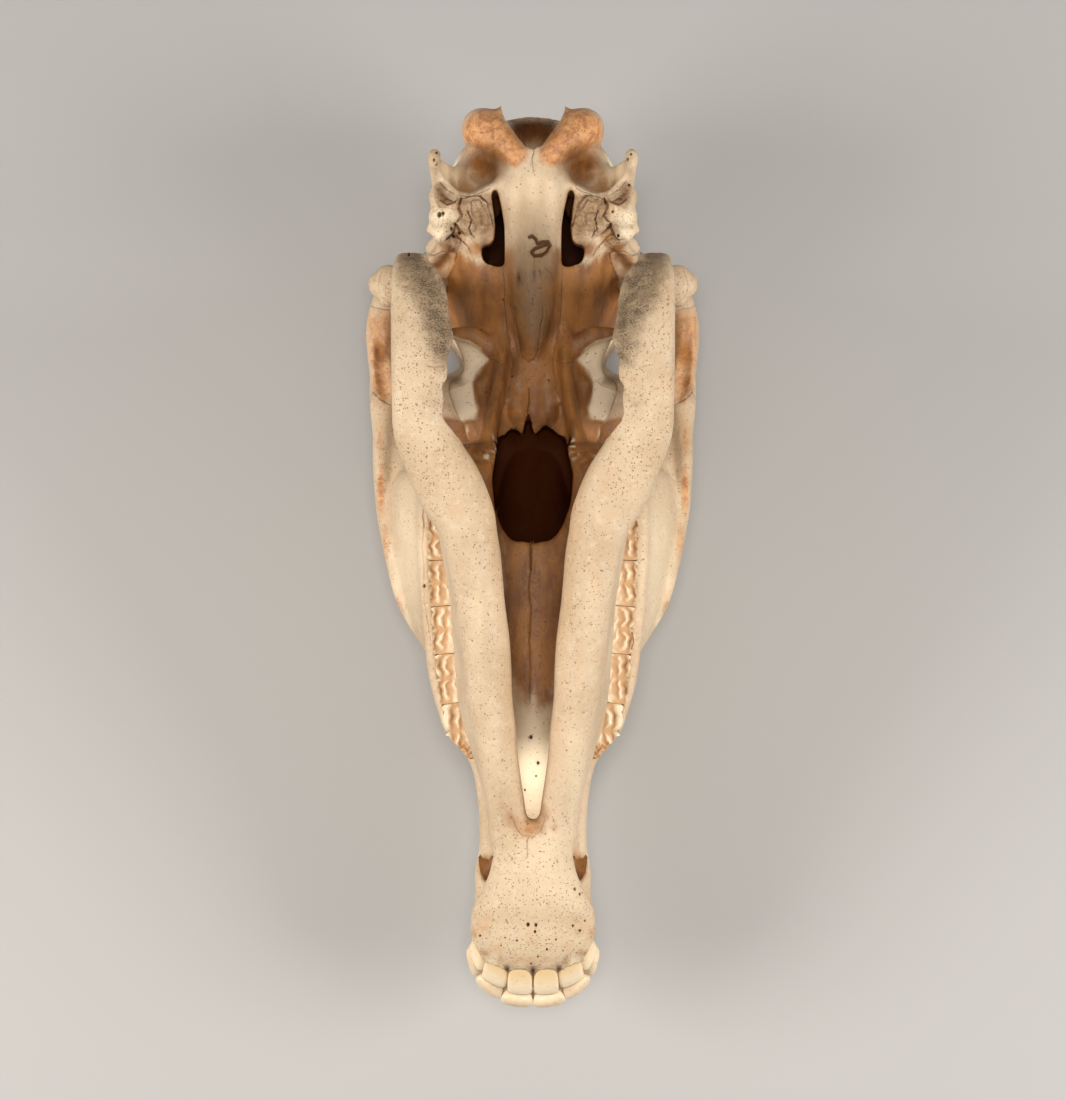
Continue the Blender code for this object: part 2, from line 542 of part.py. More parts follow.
def front_tooth(name, edge, gum, wide_edge, wide_gum, turn, side, collection, grow=0.0, helper=False):
    """A wedge from the chewing edge to the gum and on into its socket."""
    clay = bmesh.new()
    edge, gum = np.array(edge), np.array(gum)
    run = gum - edge
    a = math.radians(turn)
    across = np.array((math.cos(a), math.sin(a), 0))
    level = np.array((math.sin(a), -math.cos(a), 0))
    square = np.cross(run, across)
    square *= math.copysign(1, square @ level) / np.linalg.norm(square)
    reach = 0.5 if grow else 0.42
    stations = [
        (edge - run * (0.04 if grow else 0), wide_edge, 1.0, level),
        (edge + run * 0.34, wide_edge, 1.0, square), (gum, wide_gum, 1.0, square),
        (gum + run * reach, wide_gum * 0.72, 0.72, square),
    ]
    rings = []
    for centre, wide, thick, outward in stations:
        half, depth = wide / 2 + grow, FRONT_THICKNESS / 2 * thick + grow
        rings.append([(centre + across * u * half + outward * v * depth) * (side, 1, 1) for u, v in FRONT_SECTION])
    skin(clay, rings)
    bmesh.ops.triangulate(clay, faces=clay.faces)
    return new_object(name, clay, collection, ENAMEL, helper)


def sides():
    return (("left", 1), ("right", -1))


# Assembly

def clear_scene():
    for old in list(bpy.data.objects):
        bpy.data.objects.remove(old)


def new_collection(name):
    made = bpy.data.collections.new(name)
    bpy.context.scene.collection.children.link(made)
    return made


def build_cranium(parts, tools):
    cranium = new_object("cranium", lay_cranium(), parts, BONE)
    fuse(cranium, CRANIUM_VOXEL, 4)
    scoop = new_object("scoop", hollow_cranium(), tools, BONE, helper=True)
    fuse(scoop, CRANIUM_VOXEL, 4)
    cut(cranium, scoop)
    clay = bmesh.new()
    clay.from_mesh(cranium.data)
    bmesh.ops.scale(clay, vec=(1 / MM, 1 / MM, 1 / MM), verts=clay.verts)
    dress_cranium(clay)
    bmesh.ops.recalc_face_normals(clay, faces=clay.faces)
    bmesh.ops.scale(clay, vec=(MM, MM, MM), verts=clay.verts)
    clay.to_mesh(cranium.data)
    clay.free()
    fuse(cranium, CRANIUM_VOXEL, 3)
    drill = new_object("drill", pierce_cranium(), tools, BONE, helper=True)
    fuse(drill, CRANIUM_VOXEL * 0.6, 1)
    cut(cranium, drill)
    keep_largest(cranium)
    fuse(cranium, CRANIUM_VOXEL, 2)
    keep_largest(cranium)
    thin_out(cranium, CRANIUM_FACES)
    return cranium


def build_jaw(parts, tools):
    jaw = new_object("lower_jaw", lay_jaw(), parts, BONE)
    fuse(jaw, JAW_VOXEL, 4)
    drill = new_object("jaw_drill", pierce_jaw(), tools, BONE, helper=True)
    cut(jaw, drill)
    fuse(jaw, JAW_VOXEL, 2)
    keep_largest(jaw)
    thin_out(jaw, JAW_FACES)
    return jaw


def main():
    clear_scene()
    parts = new_collection("plains_zebra_skull")
    tools = new_collection("cutters")
    cranium = build_cranium(parts, tools)
    jaw = build_jaw(parts, tools)
    for label, side in sides():
        cut(cranium, trough(UPPER_LINE, UPPER_ENDS, UPPER_WIDTH, 4, CROWN + ROOT + GAP, side, tools))
        cut(jaw, trough(LOWER_LINE, LOWER_ENDS, LOWER_WIDTH, -CROWN - ROOT - GAP, -4, side, tools))
        for name, *shape in UPPER_FRONT:
            cut(cranium, front_tooth("socket", *shape, side, tools, GAP, True))
            front_tooth(f"upper_{name}_{label}", *shape, side, parts)
        for name, *shape in LOWER_FRONT:
            cut(jaw, front_tooth("socket", *shape, side, tools, GAP, True))
            front_tooth(f"lower_{name}_{label}", *shape, side, parts)
        for index, name in enumerate(CHEEK_TEETH):
            outline = row_outline(UPPER_LINE, UPPER_ENDS, index, UPPER_WIDTH, UPPER_OUTLINE, side)
            cheek_tooth(f"upper_{name}_{label}", outline, BITE_GAP / 2, CROWN + ROOT, 0.94, parts)
            outline = row_outline(LOWER_LINE, LOWER_ENDS, index, LOWER_WIDTH, LOWER_OUTLINE, side)
            cheek_tooth(f"lower_{name}_{label}", outline, -BITE_GAP / 2, -CROWN - ROOT, 0.94, parts)
    keep_largest(cranium)
    keep_largest(jaw)
    lay_down(parts)


def lay_down(parts):
    """Turns the skull over and lays it on nose and forehead, centred on the origin."""
    turn = Matrix.Rotation(REST_TILT, 4, "X") @ Matrix.Rotation(math.pi, 4, "Y")
    for made in parts.objects:
        made.data.transform(turn)
    corners = np.array([v.co for made in parts.objects for v in made.data.vertices])
    low, high = corners.min(0), corners.max(0)
    shift = Vector((-(low[0] + high[0]) / 2, -(low[1] + high[1]) / 2, -low[2]))
    for made in parts.objects:
        made.data.transform(Matrix.Translation(shift))


main()
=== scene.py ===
# %% [markdown]
# # A plains zebra skull, lying upside down
#
# The real thing is a dry, old skull with its lower jaw and 36 teeth. It lies on its forehead and
# the tip of its nose, so its underside faces up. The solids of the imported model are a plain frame.
# This lesson puts a finer skin of bone over them, sets new teeth in the sockets, and gives
# everything the colour of old bone.

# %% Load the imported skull
import math

import bmesh
import bpy
import numpy as np
from mathutils import Euler, Matrix, Vector
from mathutils.bvhtree import BVHTree


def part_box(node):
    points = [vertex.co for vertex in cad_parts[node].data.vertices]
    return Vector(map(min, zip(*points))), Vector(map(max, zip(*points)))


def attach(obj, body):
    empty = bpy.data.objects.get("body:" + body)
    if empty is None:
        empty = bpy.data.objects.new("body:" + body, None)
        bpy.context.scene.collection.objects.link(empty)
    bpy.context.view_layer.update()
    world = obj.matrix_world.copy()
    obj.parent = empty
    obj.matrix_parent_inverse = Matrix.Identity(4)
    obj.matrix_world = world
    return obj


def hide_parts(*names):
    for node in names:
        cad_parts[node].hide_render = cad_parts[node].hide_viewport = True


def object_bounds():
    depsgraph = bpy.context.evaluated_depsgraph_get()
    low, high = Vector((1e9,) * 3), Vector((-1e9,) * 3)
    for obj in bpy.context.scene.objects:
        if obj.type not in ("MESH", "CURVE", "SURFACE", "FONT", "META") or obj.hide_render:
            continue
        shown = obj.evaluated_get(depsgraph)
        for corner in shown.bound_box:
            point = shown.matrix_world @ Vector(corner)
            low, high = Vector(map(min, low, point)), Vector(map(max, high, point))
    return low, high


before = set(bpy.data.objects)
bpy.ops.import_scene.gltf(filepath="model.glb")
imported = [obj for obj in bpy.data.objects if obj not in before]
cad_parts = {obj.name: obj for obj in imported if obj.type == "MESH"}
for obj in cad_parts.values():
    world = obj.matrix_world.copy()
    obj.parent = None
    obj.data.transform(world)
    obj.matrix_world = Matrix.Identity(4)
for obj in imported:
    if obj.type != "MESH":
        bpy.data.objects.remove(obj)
CAD_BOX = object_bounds()
print("nodes", len(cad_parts), "box", [round(v, 4) for corner in CAD_BOX for v in corner])

# %% [markdown]
# ## One frame for the whole animal
#
# Bone is easiest to shape in the animal's own frame and in millimetres: x to its left, y back from
# the front teeth, z up from the chewing plane to the forehead. At the very end each piece is
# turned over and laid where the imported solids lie. The lean of the skull is the slope of nose and
# forehead against the chewing plane.

# %% Modelling values
MM = 0.001
REST_TILT = math.radians(14.0)
VOXEL = 1.45
SIDES = (("left", 1), ("right", -1))
CAMERA_HEIGHT, FOCAL_PIXELS, AIM_Y = 1500.0, 2679.0, 257.0
PHOTO_X, PHOTO_Y = 533.0, 550.0


def at_depth(pixels, z):
    """Where pixels of the photo lie on the level z, in mm: (x, y) points."""
    scale = (CAMERA_HEIGHT + z) / FOCAL_PIXELS
    return [((PHOTO_X - px) * scale, AIM_Y + (PHOTO_Y - py) * scale) for px, py in pixels]


print("voxel", VOXEL, "mm; a pixel covers", round(CAMERA_HEIGHT / FOCAL_PIXELS, 3), "mm at the teeth")

# %% [markdown]
# ## Curves and skins
#
# Every mass of bone is a loft: outlines are placed along the skull, and a smooth curve is run
# through matching points. A limb is a loft with round sections along a path, for arches, bars and
# crests. A ball fills swellings and hollows. Each writes into one bmesh, which we call clay.

# %% Lofts, limbs and balls
def smooth_line(points, per_span, closed=False):
    """Points along a Catmull-Rom curve through the given ones, in any number of dimensions."""
    points = np.asarray(points, float)
    if closed:
        before, after, far = np.roll(points, 1, 0), np.roll(points, -1, 0), np.roll(points, -2, 0)
        spans = len(points)
    else:
        before = np.vstack([2 * points[0] - points[1], points[:-1]])
        after = np.vstack([points[1:], 2 * points[-1] - points[-2]])
        far = np.vstack([points[2:], 2 * points[-1] - points[-2], points[-1]])
        spans = len(points) - 1
    line = []
    for i in range(spans):
        a, b, c, d = before[i], points[i], after[i], far[i]
        for t in np.arange(per_span) / per_span:
            bend, twist = (2 * a - 5 * b + 4 * c - d) * t**2, (3 * b - a - 3 * c + d) * t**3
            line.append(0.5 * (2 * b + (c - a) * t + bend + twist))
    if not closed:
        line.append(points[-1])
    return np.array(line)


def skin(clay, rings, hoop=False):
    """Skins closed rings of equal length, and closes both ends, or joins them to a hoop."""
    rows = [[clay.verts.new(Vector(p)) for p in ring] for ring in rings]
    pairs = list(zip(rows, rows[1:]))
    if hoop:
        pairs.append((rows[-1], rows[0]))
    for low, high in pairs:
        for i in range(len(low)):
            j = (i + 1) % len(low)
            clay.faces.new((low[i], low[j], high[j], high[i]))
    if not hoop:
        clay.faces.new(rows[0])
        clay.faces.new(list(reversed(rows[-1])))


def loft(clay, rows, per_station=6, per_point=4):
    """A body lofted through closed rows of points, smoothed both along and around."""
    rows = np.array(rows, float)
    count, points = rows.shape[:2]
    along = smooth_line(rows.reshape(count, -1), per_station).reshape(-1, points, 3)
    skin(clay, [smooth_line(ring, per_point, closed=True) for ring in along])


def shell(clay, stations, per_station=6, per_point=4):
    """A body with mirror symmetry, lofted along y through half outlines of (x, z) points."""
    rows = []
    for y, half in stations:
        mirrored = [(-x, z) for x, z in reversed(half[1:-1])]
        rows.append([(x, y, z) for x, z in list(half) + mirrored])
    loft(clay, rows, per_station, per_point)


# Two small rings beyond each end of a limb round it off: how far out, and how small
ROUND_END = ((0.55, 0.83), (0.9, 0.42))


def limb(clay, path, side=1, up=(0, 0, 1), per_span=6, sides=16, closed=False):
    """A tapering limb: rows of x, y, z, half width across, half depth towards up."""
    line = smooth_line(path, per_span, closed)
    centres = line[:, :3] * (side, 1, 1)
    wide, deep = np.abs(line[:, 3]), np.abs(line[:, 4])
    if closed:
        tangents = np.roll(centres, -1, 0) - np.roll(centres, 1, 0)
    else:
        tangents = np.gradient(centres, axis=0)
    tangents /= np.linalg.norm(tangents, axis=1)[:, None]
    up = np.array(up, float) * (side, 1, 1)
    turns = np.arange(sides) * 2 * math.pi / sides

    def ring(index, push=0.0, shrink=1.0):
        across = np.cross(up, tangents[index])
        across /= np.linalg.norm(across)
        over = np.cross(tangents[index], across)
        centre = centres[index] + tangents[index] * push * min(wide[index], deep[index])
        span, rise = across * wide[index], over * deep[index]
        return [centre + shrink * (span * math.cos(t) + rise * math.sin(t)) for t in turns]

    rings = [ring(index) for index in range(len(line))]
    if not closed:
        rings = [ring(0, -push, shrink) for push, shrink in reversed(ROUND_END)] + rings
        rings += [ring(len(line) - 1, push, shrink) for push, shrink in ROUND_END]
    skin(clay, rings, closed)


def ball(clay, centre, radii, turn=(0, 0, 0), side=1):
    """An ellipsoid, turned by degrees about x, y and z; side -1 puts it on the other half."""
    place = (
        Matrix.Diagonal((side, 1, 1, 1))
        @ Matrix.Translation(centre)
        @ Euler([math.radians(a) for a in turn]).to_matrix().to_4x4()
        @ Matrix.Diagonal((*radii, 1))
    )
    bmesh.ops.create_icosphere(clay, subdivisions=4, radius=1, matrix=place)


def both(add, clay, *shape, **more):
    """Adds a mass to the left half and its mirror image to the right half."""
    for side in (1, -1):
        add(clay, *shape, side=side, **more)


# %% [markdown]
# ## Clay to bone
#
# Overlapping masses look like a toy until they are melted together. The voxel remesh gives one
# skin over all of them, and a few rounds of smoothing draw the seams into fillets, as bone grows.
# Hollows are cut with a Boolean, which needs closed meshes, and a second melt rounds their edges.

# %% Objects, melting and cutting
def new_piece(name, clay):
    """Makes an object, still in millimetres, from clay."""
    bmesh.ops.recalc_face_normals(clay, faces=clay.faces)
    mesh = bpy.data.meshes.new(name)
    clay.to_mesh(mesh)
    clay.free()
    made = bpy.data.objects.new(name, mesh)
    bpy.context.scene.collection.objects.link(made)
    return made


def bake_modifiers(made):
    """Replaces the piece's mesh by what its modifiers make of it."""
    graph = bpy.context.evaluated_depsgraph_get()
    mesh = bpy.data.meshes.new_from_object(made.evaluated_get(graph))
    made.modifiers.clear()
    old, made.data = made.data, mesh
    bpy.data.meshes.remove(old)


def melt(made, voxel, rounds):
    """Melts overlapping shells into one skin and rounds the seams between them."""
    remesh = made.modifiers.new("melt", "REMESH")
    remesh.mode = "VOXEL"
    remesh.voxel_size = voxel
    relax = made.modifiers.new("relax", "SMOOTH")
    relax.factor = 0.5
    relax.iterations = rounds
    bake_modifiers(made)


def carve(made, cutter):
    """Cuts one closed mesh from another and throws the cutter away."""
    boolean = made.modifiers.new("carve", "BOOLEAN")
    boolean.operation = "DIFFERENCE"
    boolean.solver = "MANIFOLD"
    boolean.object = cutter
    bake_modifiers(made)
    bpy.data.objects.remove(cutter)


def thin_out(made, triangles):
    """Brings the mesh down to this many triangles where it has more."""
    now = sum(len(face.vertices) - 2 for face in made.data.polygons)
    if now > triangles:
        thin = made.modifiers.new("thin_out", "DECIMATE")
        thin.ratio = triangles / now
        bake_modifiers(made)


def keep_largest(made):
    """Removes crumbs that a cut leaves beside the main body."""
    clay = bmesh.new()
    clay.from_mesh(made.data)
    waiting = set(clay.verts)
    groups = []
    while waiting:
        group, edge = [], [waiting.pop()]
        while edge:
            vert = edge.pop()
            group.append(vert)
            for link in vert.link_edges:
                other = link.other_vert(vert)
                if other in waiting:
                    waiting.discard(other)
                    edge.append(other)
        groups.append(group)
    groups.sort(key=len)
    for group in groups[:-1]:
        bmesh.ops.delete(clay, geom=group, context="VERTS")
    clay.to_mesh(made.data)
    clay.free()


def add_clay(made, shape_masses):
    """Adds more masses to a piece, to be melted in next."""
    clay = bmesh.new()
    clay.from_mesh(made.data)
    shape_masses(clay)
    bmesh.ops.recalc_face_normals(clay, faces=clay.faces)
    clay.to_mesh(made.data)
    clay.free()


# %% [markdown]
# ## The cranium's large masses
#
# Outlines are half sections: (x, z) points from the middle of the top, round the side, to the
# middle underneath. The face runs from the front teeth to the orbits and the brow from the orbits
# to the nape. The nose tunnel is a loft of its own, cut out of the face.

# %% Sections of face, brow, nose tunnel and nasal bones
FACE = [
    (9, [(0, 27), (8, 27), (13, 26), (17, 24), (19, 21), (20, 18), (20, 16), (19, 14), (16, 12), (9, 11),
         (0, 11)]),
    (20, [(0, 40), (10, 39), (18, 37), (24, 33), (28, 28), (30, 23), (31, 18), (29, 14), (25, 12),
          (14, 12), (0, 13)]),
    (38, [(0, 50), (10, 49), (20, 46), (28, 41), (33, 34), (35, 27), (35, 20), (33, 14), (28, 12),
          (16, 13), (0, 16)]),
    (60, [(0, 56), (10, 56), (19, 54), (26, 49), (30, 42), (32, 34), (33, 26), (32, 19), (28, 14),
          (17, 14), (0, 17)]),
    (75, [(0, 60), (10, 60), (18, 58), (25, 53), (29, 46), (31, 38), (33, 28), (33, 20), (28, 15),
          (17, 15), (0, 17)]),
    (85, [(0, 63), (10, 63), (18, 62), (24, 58), (27, 50), (29, 42), (30, 32), (31, 22), (27, 15),
          (16, 15), (0, 18)]),
    (110, [(0, 72), (10, 72), (18, 71), (24, 67), (27, 59), (29, 48), (30, 36), (31, 24), (29, 15),
           (17, 15), (0, 19)]),
    (135, [(0, 85), (10, 85), (19, 84), (26, 79), (31, 70), (33.5, 57), (34.5, 42), (35.5, 26), (33, 14),
           (20, 14), (0, 20)]),
    (150, [(0, 94), (10, 94), (20, 92), (29, 85), (37, 74), (42, 59), (44.5, 42), (46.5, 26), (45, 12),
           (20, 14), (0, 20)]),
    (160, [(0, 102), (11, 102), (21, 99), (31, 90), (41, 77), (46, 60), (49, 42), (51, 26), (50, 12),
           (21, 14), (0, 21)]),
    (185, [(0, 115), (13, 115), (25, 111), (38, 100), (49, 84), (54, 64), (56, 45), (57.5, 26), (57, 12),
           (25, 14), (0, 21)]),
    (215, [(0, 126), (16, 126), (31, 122), (46, 110), (60, 92), (71, 70), (69, 46), (63, 24), (60, 14),
           (28, 14), (0, 21)]),
    (250, [(0, 137), (18, 137), (37, 133), (55, 121), (68, 101), (82, 78), (76, 50), (66, 24), (62, 14),
           (30, 14), (0, 20)]),
    (280, [(0, 146), (22, 146), (44, 142), (63, 131), (77, 111), (88, 86), (80, 52), (67, 26), (62, 14),
           (30, 14), (0, 20)]),
    (300, [(0, 150), (25, 150), (48, 146), (68, 136), (78, 116), (86, 92), (76, 56), (63, 28), (60, 14),
           (30, 14), (0, 22)]),
    (311, [(0, 130), (20, 128), (38, 120), (52, 108), (60, 95), (64, 80), (58, 52), (55, 32), (51, 20),
           (30, 20), (0, 32)]),
    (318, [(0, 118), (16, 117), (28, 110), (38, 98), (44, 86), (48, 74), (46, 54), (44, 40), (40, 30),
           (30, 30), (0, 42)]),
]
BROW = [
    (285, [(0, 147), (40, 145), (64, 137), (74, 126), (72, 112), (60, 100), (48, 90), (40, 80), (36, 68),
           (0, 62)]),
    (305, [(0, 152), (44, 149), (74, 143), (84, 136), (72, 128), (50, 118), (36, 104), (32, 86), (28, 68),
           (0, 62)]),
    (325, [(0, 156), (46, 153), (78, 149), (88, 143), (70, 136), (46, 126), (34, 108), (31, 86), (27, 68),
           (0, 63)]),
    (345, [(0, 158), (48, 155), (80, 149), (90, 142), (72, 136), (46, 126), (34, 108), (31, 88), (27, 70),
           (0, 66)]),
    (357, [(0, 159), (44, 155), (70, 149), (80, 141), (66, 134), (44, 126), (35, 110), (32, 90), (27, 72),
           (0, 68)]),
    (368, [(0, 159), (30, 156), (41, 151), (45, 144), (44, 137), (42, 127), (38, 112), (33, 92), (27, 74),
           (0, 68)]),
    (383, [(0, 159), (27, 156), (41, 150), (48, 142), (51, 132), (51, 121), (47, 108), (39, 92), (28, 76),
           (0, 66)]),
    (410, [(0, 157), (24, 155), (40, 148), (50, 138), (55, 127), (56, 115), (53, 100), (44, 84), (30, 68),
           (0, 60)]),
    (435, [(0, 153), (22, 151), (38, 145), (49, 135), (54, 122), (55, 108), (52, 92), (44, 78), (30, 64),
           (0, 56)]),
    (460, [(0, 147), (20, 145), (34, 139), (45, 129), (51, 115), (53, 100), (50, 85), (43, 72), (30, 60),
           (0, 54)]),
    (480, [(0, 143), (18, 141), (31, 134), (40, 122), (46, 108), (48, 94), (46, 80), (40, 68), (28, 56),
           (0, 51)]),
    (495, [(0, 140), (16, 138), (30, 130), (38, 116), (41, 102), (41, 90), (38, 78), (31, 68), (20, 60),
           (0, 56)]),
    (505, [(0, 138), (15, 135), (27, 126), (34, 114), (36, 103), (35, 94), (31, 86), (24, 80), (15, 76),
           (0, 74)]),
    (512, [(0, 137), (13, 134), (22, 128), (27, 120), (28, 112), (26, 105), (21, 100), (15, 98), (8, 96),
           (0, 95)]),
]
NOSE_TUNNEL = [
    (24, [(0, 78), (6, 77), (9, 58), (7, 44), (0, 40)]),
    (45, [(0, 84), (12, 82), (16, 60), (12, 38), (0, 32)]),
    (70, [(0, 92), (18, 88), (22, 62), (16, 34), (0, 27)]),
    (100, [(0, 98), (22, 94), (24, 66), (18, 36), (0, 28)]),
    (130, [(0, 101), (22, 98), (27, 72), (20, 38), (0, 30)]),
    (152, [(0, 98), (20, 94), (31, 74), (23, 38), (0, 30)]),
    (200, [(0, 110), (22, 105), (37, 80), (26, 40), (0, 30)]),
    (240, [(0, 116), (22, 111), (36, 84), (24, 44), (0, 34)]),
    (270, [(0, 108), (18, 103), (27, 78), (20, 40), (0, 30)]),
    (300, [(0, 94), (16, 89), (21, 66), (19, 36), (0, 25)]),
    (322, [(0, 82), (13, 78), (18, 60), (17, 36), (0, 24)]),
]
NASALS = [
    (80, [(0, 97), (2, 96.5), (4, 95.5), (4.5, 94), (4, 92.5), (2, 92), (0, 92)]),
    (90, [(0, 99.5), (6, 98.5), (10, 96), (11, 93.5), (9, 92.5), (5, 93.5), (0, 94)]),
    (110, [(0, 104), (9, 102.5), (15, 98.5), (17, 94.5), (14, 94), (8, 97), (0, 98)]),
    (140, [(0, 108), (10, 107), (18, 102), (21, 96.5), (17, 96), (9, 101), (0, 102)]),
    (170, [(0, 113), (12, 112), (22, 107), (27, 100), (22, 99), (12, 105), (0, 107)]),
    (195, [(0, 119), (14, 118), (26, 113), (34, 104), (27, 103), (14, 110), (0, 112)]),
]


def scoop_shapes():
    """What is scooped out first: the nose tunnel, the rear nostrils and the orbits."""
    clay = bmesh.new()
    shell(clay, NOSE_TUNNEL)
    ball(clay, (0, 298, 28), (21, 38, 38))
    both(ball, clay, (82, 326, 117), (52, 30, 27.5))
    both(ball, clay, (62, 345, 78), (30, 30, 34))
    return clay


print("sections", len(FACE) + len(BROW) + len(NOSE_TUNNEL) + len(NASALS))

# %% [markdown]
# ## What grows from face and braincase
#
# The cheek arch, the rim of the orbit, the joint roof for the lower jaw, the ear capsule, the bar
# of the skull base, the condyles of the nape and the long processes beside them are all limbs and
# balls. They are listed in the order in which they lie, from the cheek back to the nape.

# %% Masses that dress the cranium
def dress_cheeks(clay):
    """Cheek crest, zygomatic arch, rim of the orbit and the joint of the lower jaw."""
    shell(clay, NASALS)
    both(limb, clay, [
        (53, 190, 60, 4, 5), (61.5, 204, 60, 4.5, 5), (69.5, 216, 61, 4.5, 4), (76, 230, 64, 5, 5),
        (82.5, 255, 68, 5, 6), (88, 285, 75, 5, 9), (89, 312, 82, 6.5, 11), (87.5, 338, 89, 8, 9),
        (89, 358, 95, 9, 9), (91.5, 375, 101, 9.5, 9), (92, 390, 104, 10, 9), (88, 404, 106, 10, 9),
        (80, 415, 107, 10, 9), (70, 421, 108, 9, 9), (58, 425, 110, 8, 9), (48, 427, 111, 8, 9),
    ])
    both(limb, clay, [(70, 284, 78, 16, 12), (76, 308, 82, 13, 10), (82, 332, 89, 9, 7), (88, 352, 94, 7, 8)])
    both(limb, clay, [
        (82, 326, 146, 4, 7), (87, 349, 140, 5, 7), (93, 360, 117, 5, 6), (91, 351, 95, 7, 8),
        (87, 326, 87, 7, 9), (83, 303, 93, 7, 8), (79, 295, 116, 6, 8), (78, 303, 139, 5, 8),
    ], up=(1, 0, 0), closed=True)
    both(limb, clay, [(92, 401, 107, 6, 6), (80, 404, 105, 8, 7), (60, 409, 103, 9, 7), (46, 413, 103, 9, 8)])
    both(limb, clay, [(58, 427, 102, 7, 6), (58, 429, 90, 5, 5), (59, 429, 81, 3.5, 4)], up=(0, 1, 0))


# The plate before the ear, seen from below: (x, y) points
CHEEK_ROOT = [(64, 430), (58, 434), (46, 434), (45, 430), (49, 422), (53.5, 411), (60, 404), (68, 402),
              (68, 420)]
# Thin plates between the braincase and the arch: pixels of the photo, and the plate's two levels
BASE_PLATES = [
    ([(449, 328), (451, 339), (463, 341), (476, 346), (488, 358), (497, 350), (494, 338),
      (474, 326)], 67, 75),
    ([(452, 334), (456, 343), (462, 356), (464, 366), (461, 374), (452, 380), (447, 386), (450, 389),
      (464, 383),
      (472, 378), (477, 368), (482, 365), (488, 358), (484, 345)], 74, 84),
    ([(447.5, 391), (459, 389), (471, 382.5), (474, 393), (477, 407), (477, 414), (472, 418.5),
      (458, 420)], 76, 84),
    ([(474, 380), (478, 400), (480, 412), (471, 420), (463, 421), (466, 436), (476, 450), (486, 458),
      (497, 450),
      (505, 430), (507, 400), (500, 372)], 72, 80),
]


def prism(clay, outline, low, high):
    """A closed block over an outline of (x, y) points, from one level to another."""
    skin(clay, [[(x, y, z) for x, y in outline] for z in (low, high)])


def pixel_prism(clay, pixels, low, high, side=1):
    """A block over an outline in pixels of the photo: it widens away from the camera."""
    skin(clay, [[(side * x, y, z) for x, y in at_depth(pixels, z)] for z in (low, high)])


def dress_base(clay):
    """Ear region, bar of the skull base, and the wings that frame the rear nostrils."""
    both(limb, clay, [(46, 444, 84, 8, 8), (54, 440, 92, 6, 6), (60, 437, 99, 5, 5)])
    both(ball, clay, (34.5, 451, 58), (10.5, 11, 11), turn=(0, 10, 15))
    both(ball, clay, (46, 456, 66), (9, 8, 10))
    both(ball, clay, (53, 452, 68), (8.5, 8, 9))
    both(ball, clay, (55, 464, 70), (6.5, 8, 9))
    both(ball, clay, (51, 443, 74), (8, 8, 8))
    both(limb, clay, [(44, 440, 72, 5, 5), (51, 436, 80, 4, 5), (58, 432, 88, 3, 4)])
    both(limb, clay, [(33, 441, 60, 4, 5), (30, 433, 64, 2.2, 3), (29, 429, 66, 1.5, 2)])
    both(limb, clay, [(56, 449, 72, 5, 5), (61, 445, 74, 2.4, 3), (63, 443, 75, 1.2, 1.5)])
    both(limb, clay, [(53, 462, 74, 6, 12), (55, 458, 90, 6, 10), (53, 456, 106, 5, 9)], up=(0, 1, 0))
    limb(clay, [
        (0, 490, 56, 13, 8), (0, 478, 55, 18, 8.5), (0, 464, 56, 19.5, 9), (0, 450, 57, 17, 9),
        (0, 436, 58, 15, 9), (0, 424, 59, 14.5, 9), (0, 405, 61.5, 13, 8.5), (0, 390, 64, 10.5, 7.5),
        (0, 377, 66, 7, 6), (0, 369, 68, 4, 4),
    ])
    for side in (1, -1):
        prism(clay, [(side * x, y) for x, y in CHEEK_ROOT], 90, 100)
    both(limb, clay, [
        (20, 400, 77, 6, 6), (18.5, 384, 75, 5, 7), (18.5, 368, 71, 4.5, 9), (20, 352, 68, 4.5, 12),
        (23, 336, 62, 4.5, 16), (25.5, 321, 55, 4.5, 19), (28, 308, 48, 5, 17),
    ])
    limb(clay, [(0, 378, 70, 9, 5), (0, 360, 70, 10, 6), (0, 343, 69, 11, 7), (0, 330, 68, 12, 7)])
    both(limb, clay, [(8, 366, 70, 5, 5), (8.5, 350, 68, 6, 7), (8.5, 336, 67, 7, 8)])
    for side in (1, -1):
        for plate in BASE_PLATES:
            pixel_prism(clay, *plate, side)
    both(limb, clay, [(28, 324, 46, 3, 4), (28.5, 312, 37, 4, 5), (29, 303, 32, 5, 4)])
    both(ball, clay, (32.5, 361.5, 80), (5, 5, 3))


